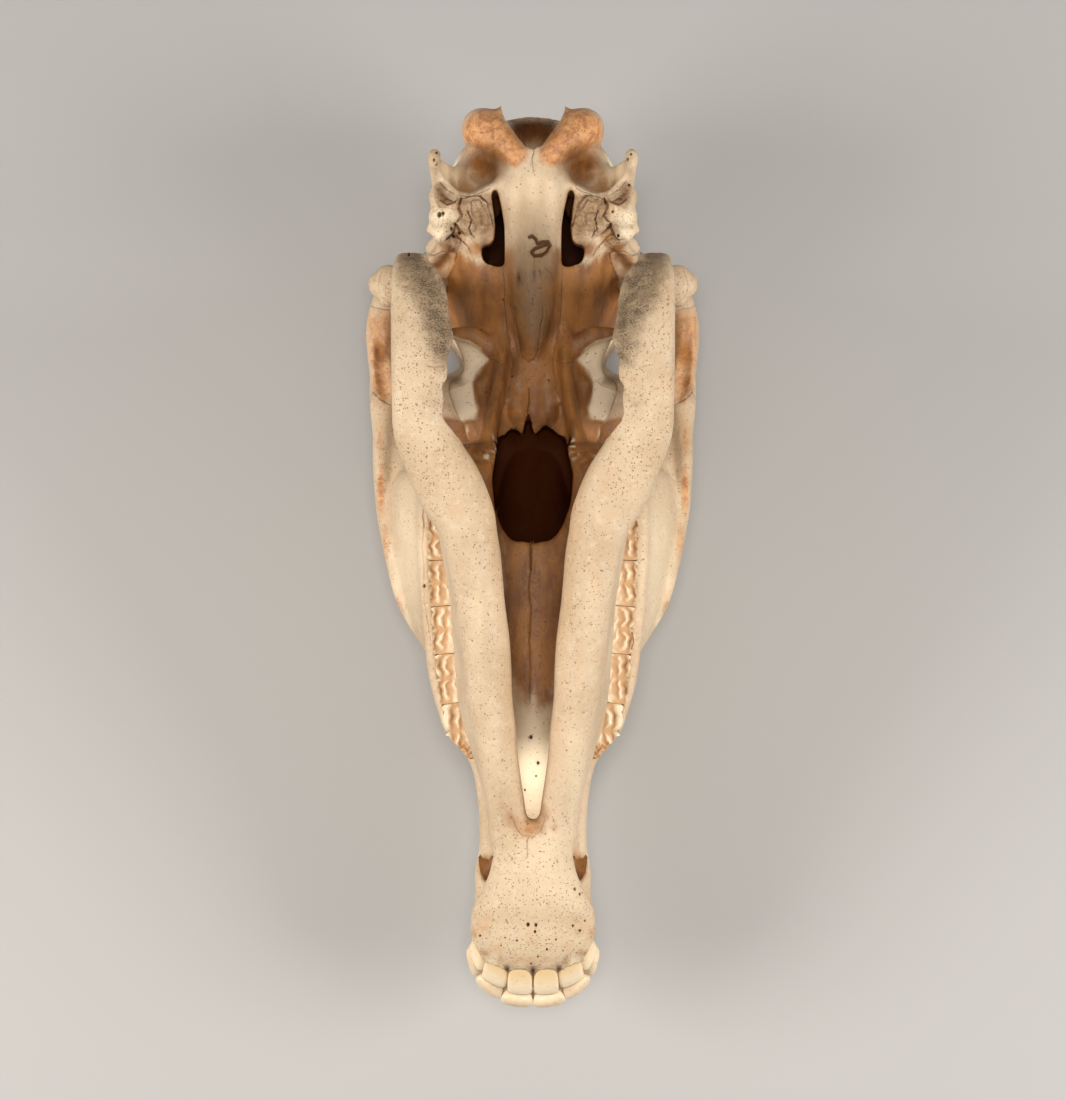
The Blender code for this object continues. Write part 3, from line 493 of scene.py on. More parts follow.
def dress_nape(clay):
    """Condyles, the processes beside them, and the crests of the nape."""
    both(limb, clay, [
        (31, 498, 92, 9, 9), (31, 505, 78, 10, 11), (28, 503, 64, 12, 12.5), (18, 494, 55, 11, 10.5),
        (11, 485, 51, 8, 7.5),
    ], up=(1, 0, 0))
    both(limb, clay, [(34, 500, 70, 8, 9), (27, 505, 68, 8, 10), (21, 509, 66, 6, 8), (18, 513, 65, 4, 6),
                      (17.5, 516, 65, 2, 3)])
    both(limb, clay, [
        (50, 468, 82, 6, 17), (53, 469, 62, 4, 16), (55.3, 471, 42, 2.8, 13.5), (56, 474.5, 24, 2.8, 9),
        (56, 478, 12, 3.8, 6),
    ], up=(0, 1, 0))
    both(ball, clay, (55.5, 479.5, 12), (4.2, 4.8, 5))
    both(limb, clay, [
        (13, 476, 57, 8, 6), (26, 466, 58, 5, 8), (36, 461, 52, 3.5, 9), (44, 461, 45, 3.2, 8),
        (50, 465, 34, 3.2, 8), (54.5, 470, 24, 3, 6),
    ])
    limb(clay, [
        (-48, 478, 108, 4, 5), (-40, 495, 116, 4.5, 5), (-25, 510, 129, 5, 5), (0, 517, 135, 5.5, 5),
        (25, 510, 129, 5, 5), (40, 495, 116, 4.5, 5), (48, 478, 108, 4, 5),
    ])
    both(limb, clay, [(46, 482, 110, 3, 4), (53, 455, 106, 3, 4), (56, 432, 107, 4, 5)])
    limb(clay, [(0, 514, 136, 4, 4), (0, 495, 141, 3, 4), (0, 470, 145, 2.5, 3), (0, 445, 150, 2, 2)])


def dress_cranium(clay):
    """All that grows from face and braincase."""
    dress_cheeks(clay)
    dress_base(clay)
    dress_nape(clay)


# Slot beside the base bar, seen from below: (x, y) points
BASE_SLOT = [
    (22.4, 468.5), (24.6, 464.5), (23.0, 456), (22.0, 446.8), (22.6, 438), (25.5, 434.5), (30.4, 435.8),
    (30.0, 430), (28.6, 425), (22, 422.6), (16.6, 421.7), (16.4, 434), (16.6, 446), (18.4, 456.5),
    (20.6, 465.5),
]
# Canine pit and rear nostrils, seen from below: pixels of the photo
CANINE_PIT = [(478, 859), (480, 856), (483, 859.5), (486, 859), (489, 861), (492, 856), (497, 857),
              (495, 872), (487, 881), (484.5, 882), (480, 873)]
REAR_NOSTRILS = [
    (497, 445), (500, 437), (505, 436), (511, 429), (517, 431), (523, 437), (526.5, 419), (528.5, 415),
    (531, 422),
    (533, 437), (539, 432), (545, 426), (552, 430), (558, 436), (563, 437), (567, 447), (573, 475),
    (571, 503),
    (563, 525), (556, 536), (548, 541.5), (540, 541), (534.5, 538), (531, 534), (527, 539), (519, 542.5),
    (511, 540), (503, 530), (495, 510), (492, 480),
]


# Notch between the two condyles of the nape, its left half seen from below: (x, y) points
NAPE_NOTCH = [(0, 489.0), (4.6, 490.2), (12.6, 501.2), (16.2, 506.8), (18.6, 514.5), (18.6, 545)]


def drill_shapes():
    """What is cut last: room for the brain, the nape hole, slots, bowls and nerve holes."""
    clay = bmesh.new()
    ball(clay, (0, 420, 108), (38, 64, 34))
    limb(clay, [(0, 545, 76, 15, 15), (0, 505, 74, 16, 16), (0, 470, 76, 17, 15), (0, 440, 90, 20, 18)])
    for side in (1, -1):
        prism(clay, [(side * x, y) for x, y in BASE_SLOT], 36, 84)
    both(ball, clay, (36.5, 478, 33), (18, 12, 34), turn=(0, -6, 12))
    both(limb, clay, [(92, 402, 90, 4.5, 4), (92.5, 385, 90, 6, 5.5), (90, 365, 86, 6, 6),
                      (86.5, 348, 80, 5, 6)])
    both(limb, clay, [(44, 168, 78, 4, 5), (49, 182, 81, 4, 6), (50, 200, 84, 4, 6)])
    both(limb, clay, [(60, 343, 170, 3, 3), (60, 343, 130, 3, 3)], up=(0, 1, 0))
    both(limb, clay, [(14, 62, 5, 3, 6), (15, 90, 8, 3.5, 6), (14, 120, 12, 2.5, 6)])
    both(limb, clay, [(70, 434, 108, 3, 3), (56, 440, 94, 3, 3)])
    skin(clay, [[(x, y, z) for x, y in at_depth(REAR_NOSTRILS, z)] for z in (12, 48, 84)])
    return clay


# %% Build the cranium's skin
def build_cranium():
    """Melts face and brow, scoops them out, dresses them, drills them and rounds every edge."""
    clay = bmesh.new()
    shell(clay, FACE)
    shell(clay, BROW)
    made = new_piece("cranium_bone", clay)
    melt(made, 2.4, 4)
    scoop = new_piece("scoop", scoop_shapes())
    melt(scoop, 2.4, 4)
    carve(made, scoop)
    add_clay(made, dress_cranium)
    melt(made, VOXEL, 7)
    drill = new_piece("drill", drill_shapes())
    melt(drill, 1.4, 2)
    carve(made, drill)
    keep_largest(made)
    melt(made, VOXEL, 4)
    notch = bmesh.new()
    prism(notch, NAPE_NOTCH + [(-x, y) for x, y in reversed(NAPE_NOTCH[1:])], 25, 80)
    for side in (1, -1):
        prism(notch, [(side * x, y) for x, y in at_depth(CANINE_PIT, 12)], 4, 24)
    carve(made, new_piece("notch", notch))
    keep_largest(made)
    return made


cranium = build_cranium()
print("cranium faces", len(cranium.data.polygons))

# %% [markdown]
# ## The lower jaw
#
# The front of the jaw is one symmetric loft. Each body is a loft with its own closed outlines, and
# the rising branch is a tall thin plate with a thick rear border, a hooked top and the joint bar.

# %% Sections of the lower jaw
JAW_FRONT = [
    (19, [(0, -8.5), (5, -8.7), (9, -9.5), (9, -10.8), (5, -11.8), (0, -12.2)]),
    (22, [(0, -8.3), (10, -8.8), (17, -10), (17.5, -11.8), (10, -14), (0, -14.6)]),
    (25.5, [(0, -8), (12, -9), (22.5, -10.5), (24, -13.6), (14, -18.0), (0, -18.9)]),
    (29, [(0, -8), (14, -9), (25.5, -11), (27, -15.6), (16, -21.0), (0, -22.5)]),
    (35, [(0, -8), (16, -9), (29, -12), (30.2, -18), (18, -25), (0, -27)]),
    (43, [(0, -9), (18, -10), (32, -13), (33.3, -21), (20, -29), (0, -32)]),
    (51, [(0, -11), (18, -11), (32, -14), (34, -23), (22, -32), (0, -35)]),
    (60, [(0, -13), (17, -12), (30, -16), (33, -25), (21, -35), (0, -38)]),
    (70, [(0, -16), (14, -14), (24, -18), (28, -27), (18, -37), (0, -41)]),
    (84, [(0, -19), (12, -17), (19, -20), (23, -30), (15, -41), (0, -44)]),
    (99, [(0, -26), (10, -21), (19, -20), (23, -31), (16, -44), (0, -46)]),
    (110, [(0, -34), (10, -24), (18, -22), (23, -31), (15, -45), (0, -42)]),
]
JAW_BODY = [
    (97, [(12, -46), (20, -41), (24, -31), (20, -20), (10, -20), (4, -27), (3, -36), (6, -43)]),
    (113, [(14, -50), (22, -44), (25, -33), (23, -19), (12, -18), (5, -27), (4, -38), (8, -46)]),
    (145, [(19, -62), (28, -56), (31, -40), (33, -16), (16, -14), (11, -30), (8, -46), (12, -57)]),
    (160, [(21, -67), (30, -61), (34, -43), (38, -15), (18, -14), (14, -31), (9, -50), (13, -62)]),
    (178, [(23, -72), (33, -65), (38, -46), (41, -15), (21, -14), (17, -32), (11, -54), (15, -66)]),
    (205, [(27, -79), (37, -71), (41, -48), (43, -15), (24, -14), (20, -35), (12, -60), (17, -74)]),
    (230, [(30, -85), (41, -77), (43.5, -52), (45, -15), (27, -14), (22, -38), (15, -65), (20, -80)]),
    (254, [(33, -91), (45, -83), (47.5, -56), (49, -15), (29, -14), (24, -42), (17, -70), (22, -86)]),
    (267, [(35, -94), (49, -86), (51, -59), (50.5, -15), (30, -14), (26, -44), (19, -73), (24, -89)]),
    (280, [(38, -96), (57, -88), (58.5, -62), (54, -15), (31, -14), (28, -46), (21, -76), (26, -91)]),
    (300, [(46, -99), (66, -91), (65, -64), (55, -15), (33, -14), (33, -48), (29, -80), (33, -95)]),
    (318, [(56, -101), (72.5, -95), (71, -66), (63, -18), (46, -16), (42, -48), (40, -84), (43, -98)]),
    (340, [(60, -102), (73, -99), (73.5, -70), (66, -20), (56, -18), (53, -50), (46.5, -88), (47.5, -100)]),
    (365, [(59, -104), (72.5, -101), (74.5, -74), (67, -22), (58, -20), (56, -50), (44, -90), (45.5, -102)]),
    (388, [(60, -101), (73, -98), (74.5, -72), (69, -22), (61, -20), (58, -50), (47.5, -86), (48.5, -98)]),
    (405, [(63, -93), (73, -88), (75, -64), (71, -22), (63, -20), (61, -50), (54, -78), (55, -90)]),
    (415, [(64, -80), (72, -74), (73, -58), (70, -28), (65, -26), (63, -48), (58, -62), (59, -75)]),
]


def jaw_masses():
    """The masses of the lower jaw: front, two bodies, two rising branches."""
    clay = bmesh.new()
    shell(clay, JAW_FRONT)
    for side in (1, -1):
        loft(clay, [[(side * x, y, z) for x, z in outline] for y, outline in JAW_BODY])
    both(limb, clay, [
        (57, 413.5, -84, 2, 3), (51, 407.5, -90, 2.2, 3), (46.6, 396, -94, 2.2, 2.6),
        (45.2, 378.5, -97, 2, 2.6),
        (43.0, 367, -98, 2.2, 2.6), (45.6, 360, -98, 2, 2.6), (46.4, 348, -97, 2, 2.6),
        (48.8, 342.5, -97, 2, 2.6),
        (47.8, 331, -95, 2, 2.6), (46, 321, -94, 1.8, 2.6),
    ])
    both(limb, clay, [
        (63, 359, -34, 4.5, 48), (64, 361, -8, 4.5, 47), (66, 363, 22, 4, 44), (68, 365, 50, 4, 40),
        (69, 367, 72, 3.8, 36),
    ], up=(0, 1, 0), sides=24)
    both(limb, clay, [
        (69, 350, 60, 4, 20), (70, 354, 86, 3.5, 15), (72, 361, 106, 3, 10), (73, 367, 118, 2.6, 6),
    ], up=(0, 1, 0))
    both(limb, clay, [
        (66, 404, -50, 6, 8), (69, 404, -15, 6, 8), (70, 403, 20, 5.5, 8), (71, 403, 50, 6, 8),
        (71, 406, 72, 8, 8),
    ], up=(0, 1, 0))
    both(limb, clay, [
        (54, 413, 83, 6, 5), (64, 412, 84, 8, 6.5), (76, 412, 84, 10, 7.5), (84, 413, 84, 13, 8),
        (89, 414, 84, 12, 7.5), (92, 414, 84, 8, 6),
    ])
    return clay


# What is missing beside the thin wavy inner rim of the jaw's corner: pixels of the photo
JAW_RIM = [
    (423, 238), (425.5, 252), (429, 262), (434, 266), (438, 271), (442, 279), (445.5, 288), (447, 297),
    (450, 306),
    (449.5, 318), (453, 328), (454, 338), (450, 350), (446.5, 360), (447.5, 370), (446.5, 379),
    (442, 386), (443.5, 400),
    (442, 412), (444.5, 421), (451, 429), (456.5, 436), (464, 443), (469, 451), (475, 461), (500, 461),
    (500, 238),
]


# %% Build the lower jaw's skin
def build_jaw():
    """Melts the jaw's masses, drills the chin's two nerve holes and cuts the wavy rim."""
    made = new_piece("jaw_bone", jaw_masses())
    melt(made, VOXEL, 7)
    clay = bmesh.new()
    both(ball, clay, (28, 92, -30), (9, 5, 3.5), turn=(0, 0, 25))
    carve(made, new_piece("jaw_drill", clay))
    melt(made, VOXEL, 3)
    rim = bmesh.new()
    both(pixel_prism, rim, JAW_RIM, -118, -30)
    carve(made, new_piece("rim", rim))
    keep_largest(made)
    return made


jaw = build_jaw()
print("jaw faces", len(jaw.data.polygons))

# %% [markdown]
# ## Where the teeth stand
#
# Each row of cheek teeth follows a curve in the chewing plane. A tooth's outline is given as
# shares of its half length and half width, so that one outline serves six teeth of either side.
# The outline of an upper tooth has three ribs on the cheek side, as a horse's has.

# %% Rows and outlines of the cheek teeth
CROWN, ROOT, GAP, BITE_GAP = 14.0, 11.0, 0.4, 0.4
UPPER_LINE = smooth_line([
    (30, 130), (35.5, 150), (39.8, 170), (43.4, 196), (45.6, 225), (47.2, 250), (47.4, 264),
    (47.3, 285), (45.8, 306), (43.5, 325),
], 12)
LOWER_LINE = smooth_line([
    (24, 130), (26.8, 150), (31.5, 178), (35, 205), (37.6, 230), (39.6, 254), (41.5, 275), (43.2, 292),
    (45, 312), (46, 325),
], 12)
CHEEK_TEETH = ["premolar_2", "premolar_3", "premolar_4", "molar_1", "molar_2", "molar_3"]
UPPER_ENDS = [140, 172, 199.3, 226, 251.5, 277, 305]
LOWER_ENDS = [142, 171.3, 198.5, 224.8, 250, 275.6, 305]
UPPER_WIDTH, LOWER_WIDTH = 24.5, 14.5
UPPER_OUTLINE = [
    (-1.0, 0.78), (-0.88, 0.97), (-0.76, 0.85), (-0.6, 0.93), (-0.42, 0.96), (-0.22, 0.92), (-0.08, 0.82),
    (0.0, 1.0), (0.09, 0.83), (0.24, 0.91), (0.44, 0.96), (0.64, 0.92), (0.8, 0.84), (0.91, 0.93),
    (1.0, 0.74), (0.97, -0.3), (0.8, -0.8), (0.5, -0.72), (0.38, -0.86), (-0.1, -1.0), (-0.6, -0.96),
    (-0.84, -0.8), (-0.98, -0.3),
]
LOWER_OUTLINE = [
    (-1.0, 0.3), (-0.84, 0.86), (-0.5, 1.0), (-0.16, 0.86), (0.02, 0.5), (0.2, 0.88), (0.52, 1.0),
    (0.86, 0.8), (1.0, 0.2), (0.95, -0.7), (0.6, -0.8), (0.3, -1.0), (0.0, -0.78), (-0.3, -1.0),
    (-0.62, -0.84), (-0.95, -0.76),
]


def row_point(line, y, offset, half, front, side):
    """A point of a tooth row: at y on its middle line, and offset half widths towards the cheek.

    The row draws in to a blunt tip over its first 16 mm.
    """
    x = np.interp(y, line[:, 1], line[:, 0])
    slope = (np.interp(y + 1, line[:, 1], line[:, 0]) - np.interp(y - 1, line[:, 1], line[:, 0])) / 2
    a = math.atan(slope)
    tip = min(1, max(0, (front + 16 - y) / 16))
    across = half * offset * (1 - 0.6 * tip) - 2 * tip
    return (side * (x + across * math.cos(a)), y - across * math.sin(a))


def row_outline(line, ends, index, width, outline, side, grow=0.0):
    """A tooth's outline in the chewing plane, with half a gap to each neighbour."""
    start, stop = ends[index] + GAP / 2 - grow, ends[index + 1] - GAP / 2 + grow
    middle, reach = (start + stop) / 2, (stop - start) / 2
    return [row_point(line, middle + u * reach, v, width / 2 + grow, ends[0], side) for u, v in outline]


def upper_outline(index, side, grow=0.0):
    return row_outline(UPPER_LINE, UPPER_ENDS, index, UPPER_WIDTH, UPPER_OUTLINE, side, grow)


def lower_outline(index, side, grow=0.0):
    return row_outline(LOWER_LINE, LOWER_ENDS, index, LOWER_WIDTH, LOWER_OUTLINE, side, grow)


# %% [markdown]
# ## Turning the skull over
#
# The solids were turned over, leaned and then moved so that they stand centred on the floor. A
# tooth's solid is exact, so its box tells where the move ended: we turn the same outline and
# compare. Nothing has to be typed in twice.

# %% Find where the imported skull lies
TURN = Matrix.Rotation(REST_TILT, 4, "X") @ Matrix.Rotation(math.pi, 4, "Y")
PACKED_WIDTH = 24.5
PACKED_OUTLINE = [
    (-1.0, 0.80), (-0.82, 1.0), (-0.62, 0.82), (-0.36, 0.78), (-0.1, 0.88), (0.0, 1.0), (0.14, 0.86),
    (0.4, 0.76), (0.7, 0.8), (0.92, 0.92), (1.0, 0.7), (0.97, -0.3), (0.8, -0.8), (0.5, -0.72),
    (0.38, -0.86), (-0.1, -1.0), (-0.6, -0.96), (-0.84, -0.8), (-0.98, -0.3),
]
probe = row_outline(UPPER_LINE, UPPER_ENDS, 4, PACKED_WIDTH, PACKED_OUTLINE, 1)
probe_points = [TURN @ Vector((x, y, BITE_GAP / 2)) for x, y in probe]
probe_low_x = min(p.x for p in probe_points) * MM
probe_low_y = min(p.y for p in probe_points) * MM
probe_high_z = max(p.z for p in probe_points) * MM
probe_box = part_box("upper_molar_2_left")
print("probe box", [[round(v, 5) for v in corner] for corner in probe_box])
SHIFT = Vector((probe_box[0][0] - probe_low_x, probe_box[0][1] - probe_low_y, probe_box[1][2] - probe_high_z))
LAY = Matrix.Translation(SHIFT) @ TURN @ Matrix.Scale(MM, 4)
print("shift", [round(v * 1000, 3) for v in SHIFT], "mm")


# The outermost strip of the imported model's box, in metres, and the air left inside its faces
BOX_EDGE = 0.008
BOX_AIR = 0.0001


def fit_in_box(points):
    """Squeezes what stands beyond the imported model's box into the box's last few millimetres."""
    for axis, side in ((0, -1), (0, 1), (1, -1), (1, 1), (2, 1)):
        along = side * points[:, axis]
        limit, top = side * CAD_BOX[side > 0][axis], along.max()
        start = limit - BOX_EDGE
        if top > limit - BOX_AIR:
            squeezed = start + (along - start) * (BOX_EDGE - BOX_AIR) / (top - start)
            points[:, axis] = side * np.where(along > start, squeezed, along)


def lay_down(made):
    """Moves a piece from the animal's frame to the floor, and keeps it on the floor."""
    made.data.transform(LAY)
    count = len(made.data.vertices)
    points = np.empty(count * 3)
    made.data.vertices.foreach_get("co", points)
    points = points.reshape(-1, 3)
    points[:, 2] = np.maximum(points[:, 2], 0.0)
    fit_in_box(points)
    made.data.vertices.foreach_set("co", points.ravel())
    made.data.update()
    made.data.polygons.foreach_set("use_smooth", [True] * len(made.data.polygons))


# %% [markdown]
# ## The cheek teeth
#
# A worn zebra tooth is a column of folded enamel. Where it chews, hard enamel stands as ridges, and
# the softer stuff between them is worn to brown grooves. In an upper tooth the ridges are two pairs
# of crescents. In a lower one they follow the outline and ring two dark lakes. A Boolean or a
# sculpted relief would need a very fine mesh. We make the face of rings that shrink towards the
# middle instead, and sink each point by how far it lies from the nearest ridge.

# %% Relief of a chewing face
def hump(distance, centre, width):
    """A smooth rise of height one round a distance."""
    return np.exp(-(((distance - centre) / width) ** 2))


def line_distance(points, path):
    """Distance from each point to a line through the path, in two or three dimensions."""
    path = np.asarray(path, float)
    best = np.full(len(points), 1e9)
    for a, b in zip(path[:-1], path[1:]):
        run = b - a
        share = np.clip((points - a) @ run / (run @ run), 0, 1)
        best = np.minimum(best, np.linalg.norm(points - a - share[:, None] * run, axis=1))
    return best


# Length of half a chewing face, in mm
LOBE = 13.6


def crescent_relief(flat, turn):
    """Upper teeth: each half of the face has two nested crescents of enamel, with cement between."""
    along, inward = flat[:, 0], UPPER_WIDTH / 2 - flat[:, 1]
    lobe = np.abs((along + LOBE) % LOBE - LOBE / 2)
    wave = 0.5 * np.sin(along * 0.55 + turn) + 0.3 * np.sin(along * 1.3 + 2 * turn)
    inward = inward + (wave + 0.3 * np.sin(inward * 1.1 + turn))
    joint = hump(lobe, LOBE / 2, 1.0)
    outer = np.exp(-np.abs((inward - 3.0 - 0.045 * lobe**2) / 2.5) ** 3) * (1 - 0.7 * joint)
    inner = 0.85 * hump(inward, 9.2 + 0.05 * lobe**2, 1.2) * (1 - 0.8 * hump(lobe, LOBE / 2, 1.8))
    last = 0.9 * np.clip((inward - 12.5) / 2, 0, 1) * (0.75 + 0.25 * np.sin(inward * 1.6 + along * 0.8))
    ridge = np.clip(np.maximum(np.maximum(outer, inner), last), 0, 1)
    pit = hump(inward, 6.4 + 0.05 * lobe**2, 0.8) * np.clip(1 - lobe / 5.5, 0, 1)
    return np.clip(1.4 - 1.35 * ridge + 0.4 * pit, 0, None), ridge, pit


LOWER_LAKES = [
    smooth_line([(-9.5, 0.0), (-6.5, 1.4), (-3.5, 0.2)], 6),
    smooth_line([(3.5, 0.2), (6.5, 1.4), (9.5, 0.0)], 6),
]
LAKE_WIDTH = 0.7
# The ridge that follows the outline of a lower tooth is this wide
EDGE_RIDGE = 2.8


def chewing_relief(flat, to_edge):
    """Depth below the chewing plane, how much enamel shows, and how much dark cement."""
    along = flat[:, 0]
    wavy = to_edge + 0.3 * np.sin(along * 0.9 + 1)
    ridge = np.sin(math.pi * np.clip(wavy / EDGE_RIDGE, 0, 1)) ** 0.8
    waist = hump(along - 1.4 * np.sin(to_edge * 0.9), 0, 0.8) * np.clip((to_edge - 0.7) / 0.8, 0, 1)
    ends = hump(np.abs(along + 0.9 * np.sin(to_edge * 1.3)), 13.3, 0.5)
    ridge = ridge * (1 - 0.7 * np.maximum(waist, ends))
    lake = np.minimum(*[line_distance(flat, path) for path in LOWER_LAKES])
    wall = hump(lake, LAKE_WIDTH + 1.0, 0.8)
    pit = 1 / (1 + np.exp((lake - LAKE_WIDTH) / 0.25))
    enamel = np.clip(np.maximum(ridge, wall), 0, 1)
    depth = 1.3 - 1.2 * ridge - 0.9 * wall * (1 - ridge) + 0.8 * pit
    return np.clip(depth, 0.0, None), np.clip(enamel * (1 - pit), 0, 1), pit


# %% Make one cheek tooth
# No groove is deeper than this, in mm, and this many rings make a tooth's side
FACE_DEPTH, SIDE_RINGS = 2.4, 10


def paint(made, name, values):
    """Stores one number for each point, for the materials to read."""
    layer = made.data.attributes.new(name, "FLOAT", "POINT")
    layer.data.foreach_set("value", np.asarray(values, np.float32))


def cheek_tooth(name, outline, upper, turn=0, rough=False):
    """A ribbed column with a worn chewing face; rough: broken at its front."""
    way, face_rings = (1, 26) if upper else (-1, 12)
    ring = smooth_line(outline, 6 if upper else 4, closed=True)
    middle = ring.mean(0)
    run = ring[:, 1].max() - ring[:, 1].min()
    closed = np.vstack([ring, ring[:1]])
    rows, enamel, pit, down = [], [], [], []
    for step in range(1, face_rings + 1):
        share = 1 - (1 - step / face_rings) ** 1.25
        flat = middle + (ring - middle) * share
        along = (flat[:, 1] - middle[1]) * 2 * LOBE / run
        local = np.column_stack([along, np.abs(flat[:, 0]) - abs(middle[0])])
        if upper:
            depth, hard, dark = crescent_relief(local, turn)
        else:
            depth, hard, dark = chewing_relief(local, line_distance(flat, closed))
        if rough:
            broken = np.clip((-4.5 - local[:, 0]) / 3, 0, 1)
            depth = depth + broken * (1.2 + 0.9 * np.sin(local[:, 0] * 2.1 + 1.7 * np.sin(local[:, 1] * 1.4)))
            hard = hard * (1 - 0.75 * broken)
        rows.append(np.column_stack([flat, way * (BITE_GAP / 2 + depth)]))
        enamel.append(hard)
        pit.append(dark)
        down.append(np.zeros(len(ring)))
    for step in range(1, SIDE_RINGS + 1):
        share = step / SIDE_RINGS
        flat = middle + (ring - middle) * (1 - 0.06 * share**2)
        level = way * (FACE_DEPTH + (CROWN + ROOT - FACE_DEPTH) * share)
        rows.append(np.column_stack([flat, np.full(len(ring), level)]))
        enamel.append(np.full(len(ring), 0.7))
        pit.append(np.zeros(len(ring)))
        down.append(np.full(len(ring), share))
    clay = bmesh.new()
    skin(clay, rows)
    made = new_piece(name, clay)
    paint(made, "enamel", np.concatenate(enamel))
    paint(made, "pit", np.concatenate(pit))
    paint(made, "down", np.concatenate(down))
    return made


teeth = []
for label, side in SIDES:
    for index, name in enumerate(CHEEK_TEETH):
        turn = 2.4 * index + side
        made = cheek_tooth(f"tooth_upper_{name}_{label}", upper_outline(index, side), True, turn, index == 0)
        teeth.append((f"upper_{name}_{label}", made))
        made = cheek_tooth(f"tooth_lower_{name}_{label}", lower_outline(index, side), False)
        teeth.append((f"lower_{name}_{label}", made))
print("cheek teeth", len(teeth), "faces each", len(teeth[0][1].data.polygons))

# %% [markdown]
# ## The front teeth
#
# A front tooth is a wedge: broad at the edge that bites and narrow at the gum. Sections run from
# the biting edge to the root. The section is a rounded box, fuller on the side of the lips. The
# same function makes the tooth and, grown by a little air, the cutter of its socket.

# %% Make the front teeth
UPPER_FRONT = [
    ("incisor_1", (8.95, 6.3, -3.0), (8.2, 14.5, 17.0), 20.2, 13.6, 7),
    ("incisor_2", (24.0, 13.85, -3.0), (21.3, 20.0, 17.0), 19.4, 12.6, 40),
    ("incisor_3", (31.95, 27.4, -3.0), (28.8, 32.4, 17.0), 18.4, 12.0, 76),
]
LOWER_FRONT = [
    ("incisor_1", (7.25, 12.9, -3.8), (6.9, 28.0, -14.5), 15.8, 10.4, 4),
    ("incisor_2", (20.9, 18.3, -3.8), (19.0, 31.5, -14.5), 17.0, 11.2, 27.5),
    ("incisor_3", (30.1, 29.7, -3.8), (26.6, 41.0, -14.5), 17.2, 10.0, 66),
]
FRONT_THICKNESS = 8.9


def box_section(points, power=3.2):
    """A rounded box of half width and half depth one, as (across, outward) points."""
    turns = np.arange(points) * 2 * math.pi / points
    across = np.sign(np.cos(turns)) * np.abs(np.cos(turns)) ** (2 / power)
    outward = np.sign(np.sin(turns)) * np.abs(np.sin(turns)) ** (2 / 2.4)
    return np.column_stack([across * (0.86 + 0.14 * outward), outward])


def front_tooth(name, edge, gum, wide_edge, wide_gum, turn, side, grow=0.0):
    """A wedge from the biting edge to the gum and on into its socket."""
    clay = bmesh.new()
    edge, gum = np.array(edge), np.array(gum)
    run = gum - edge
    a = math.radians(turn)
    across = np.array((math.cos(a), math.sin(a), 0))
    level = np.array((math.sin(a), -math.cos(a), 0))
    square = np.cross(run, across)
    square *= math.copysign(1, square @ level) / np.linalg.norm(square)
    reach = 0.5 if grow else 0.42
    section = box_section(44)
    crown_air = 0.5 if grow else 0
    rows = smooth_line([
        (-0.04 if grow else 0.0, wide_edge, 1.0, 0.0), (0.34, wide_edge, 1.0, 1.0),
        (0.7, 0.7 * wide_edge + 0.3 * wide_gum, 1.0, 1.0), (1.0, wide_gum, 0.96, 1.0),
        (1 + reach, wide_gum * 0.72, 0.72, 1.0),
    ], 6)
    rings, down = [], []
    for along, wide, thick, blend in rows:
        outward = level * (1 - blend) + square * blend
        outward /= np.linalg.norm(outward)
        air = grow + crown_air * min(1, max(0, (0.97 - along) / 0.12))
        half, depth = wide / 2 + air, FRONT_THICKNESS / 2 * thick + air
        centre = edge + run * along
        rings.append([(centre + across * u * half + outward * v * depth) * (side, 1, 1) for u, v in section])
        down += [along] * len(section)
    skin(clay, rings)
    made = new_piece(name, clay)
    worn_edge = 0.62 if gum[2] > 0 else 0.85
    paint(made, "enamel", np.clip(worn_edge + 1.5 * np.array(down), 0, 0.85))
    paint(made, "pit", np.zeros(len(down)))
    paint(made, "down", down)
    return made


for label, side in SIDES:
    for name, *shape in UPPER_FRONT:
        teeth.append((f"upper_{name}_{label}", front_tooth(f"tooth_upper_{name}_{label}", *shape, side)))
    for name, *shape in LOWER_FRONT:
        teeth.append((f"lower_{name}_{label}", front_tooth(f"tooth_lower_{name}_{label}", *shape, side)))
print("teeth", len(teeth))

# %% [markdown]
# ## Sockets
#
# Bone closes round each tooth, so the cutter of a socket is the tooth's own outline grown by a
# third of a millimetre. Neighbours would touch each other, so we cut every other tooth at a time.

# %% Cut the sockets
SOCKET_AIR, SOCKET_TOP = 0.3, 4
SOCKET_FLOOR = CROWN + ROOT + GAP


def column(clay, outline, low, high):
    """A closed column over an outline in the chewing plane."""
    prism(clay, smooth_line(outline, 3, closed=True), low, high)


for start in (0, 1):
    upper, lower = bmesh.new(), bmesh.new()
    for label, side in SIDES:
        for index in range(start, len(CHEEK_TEETH), 2):
            column(upper, upper_outline(index, side, SOCKET_AIR), SOCKET_TOP, SOCKET_FLOOR)
            column(lower, lower_outline(index, side, SOCKET_AIR), -SOCKET_FLOOR, -SOCKET_TOP)
    carve(cranium, new_piece("upper_sockets", upper))
    carve(jaw, new_piece("lower_sockets", lower))
for label, side in SIDES:
    for name, *shape in UPPER_FRONT:
        carve(cranium, front_tooth("socket", *shape, side, SOCKET_AIR))
    for name, *shape in LOWER_FRONT:
        carve(jaw, front_tooth("socket", *shape, side, SOCKET_AIR))
keep_largest(cranium)
keep_largest(jaw)
print("after the sockets", len(cranium.data.polygons), len(jaw.data.polygons))
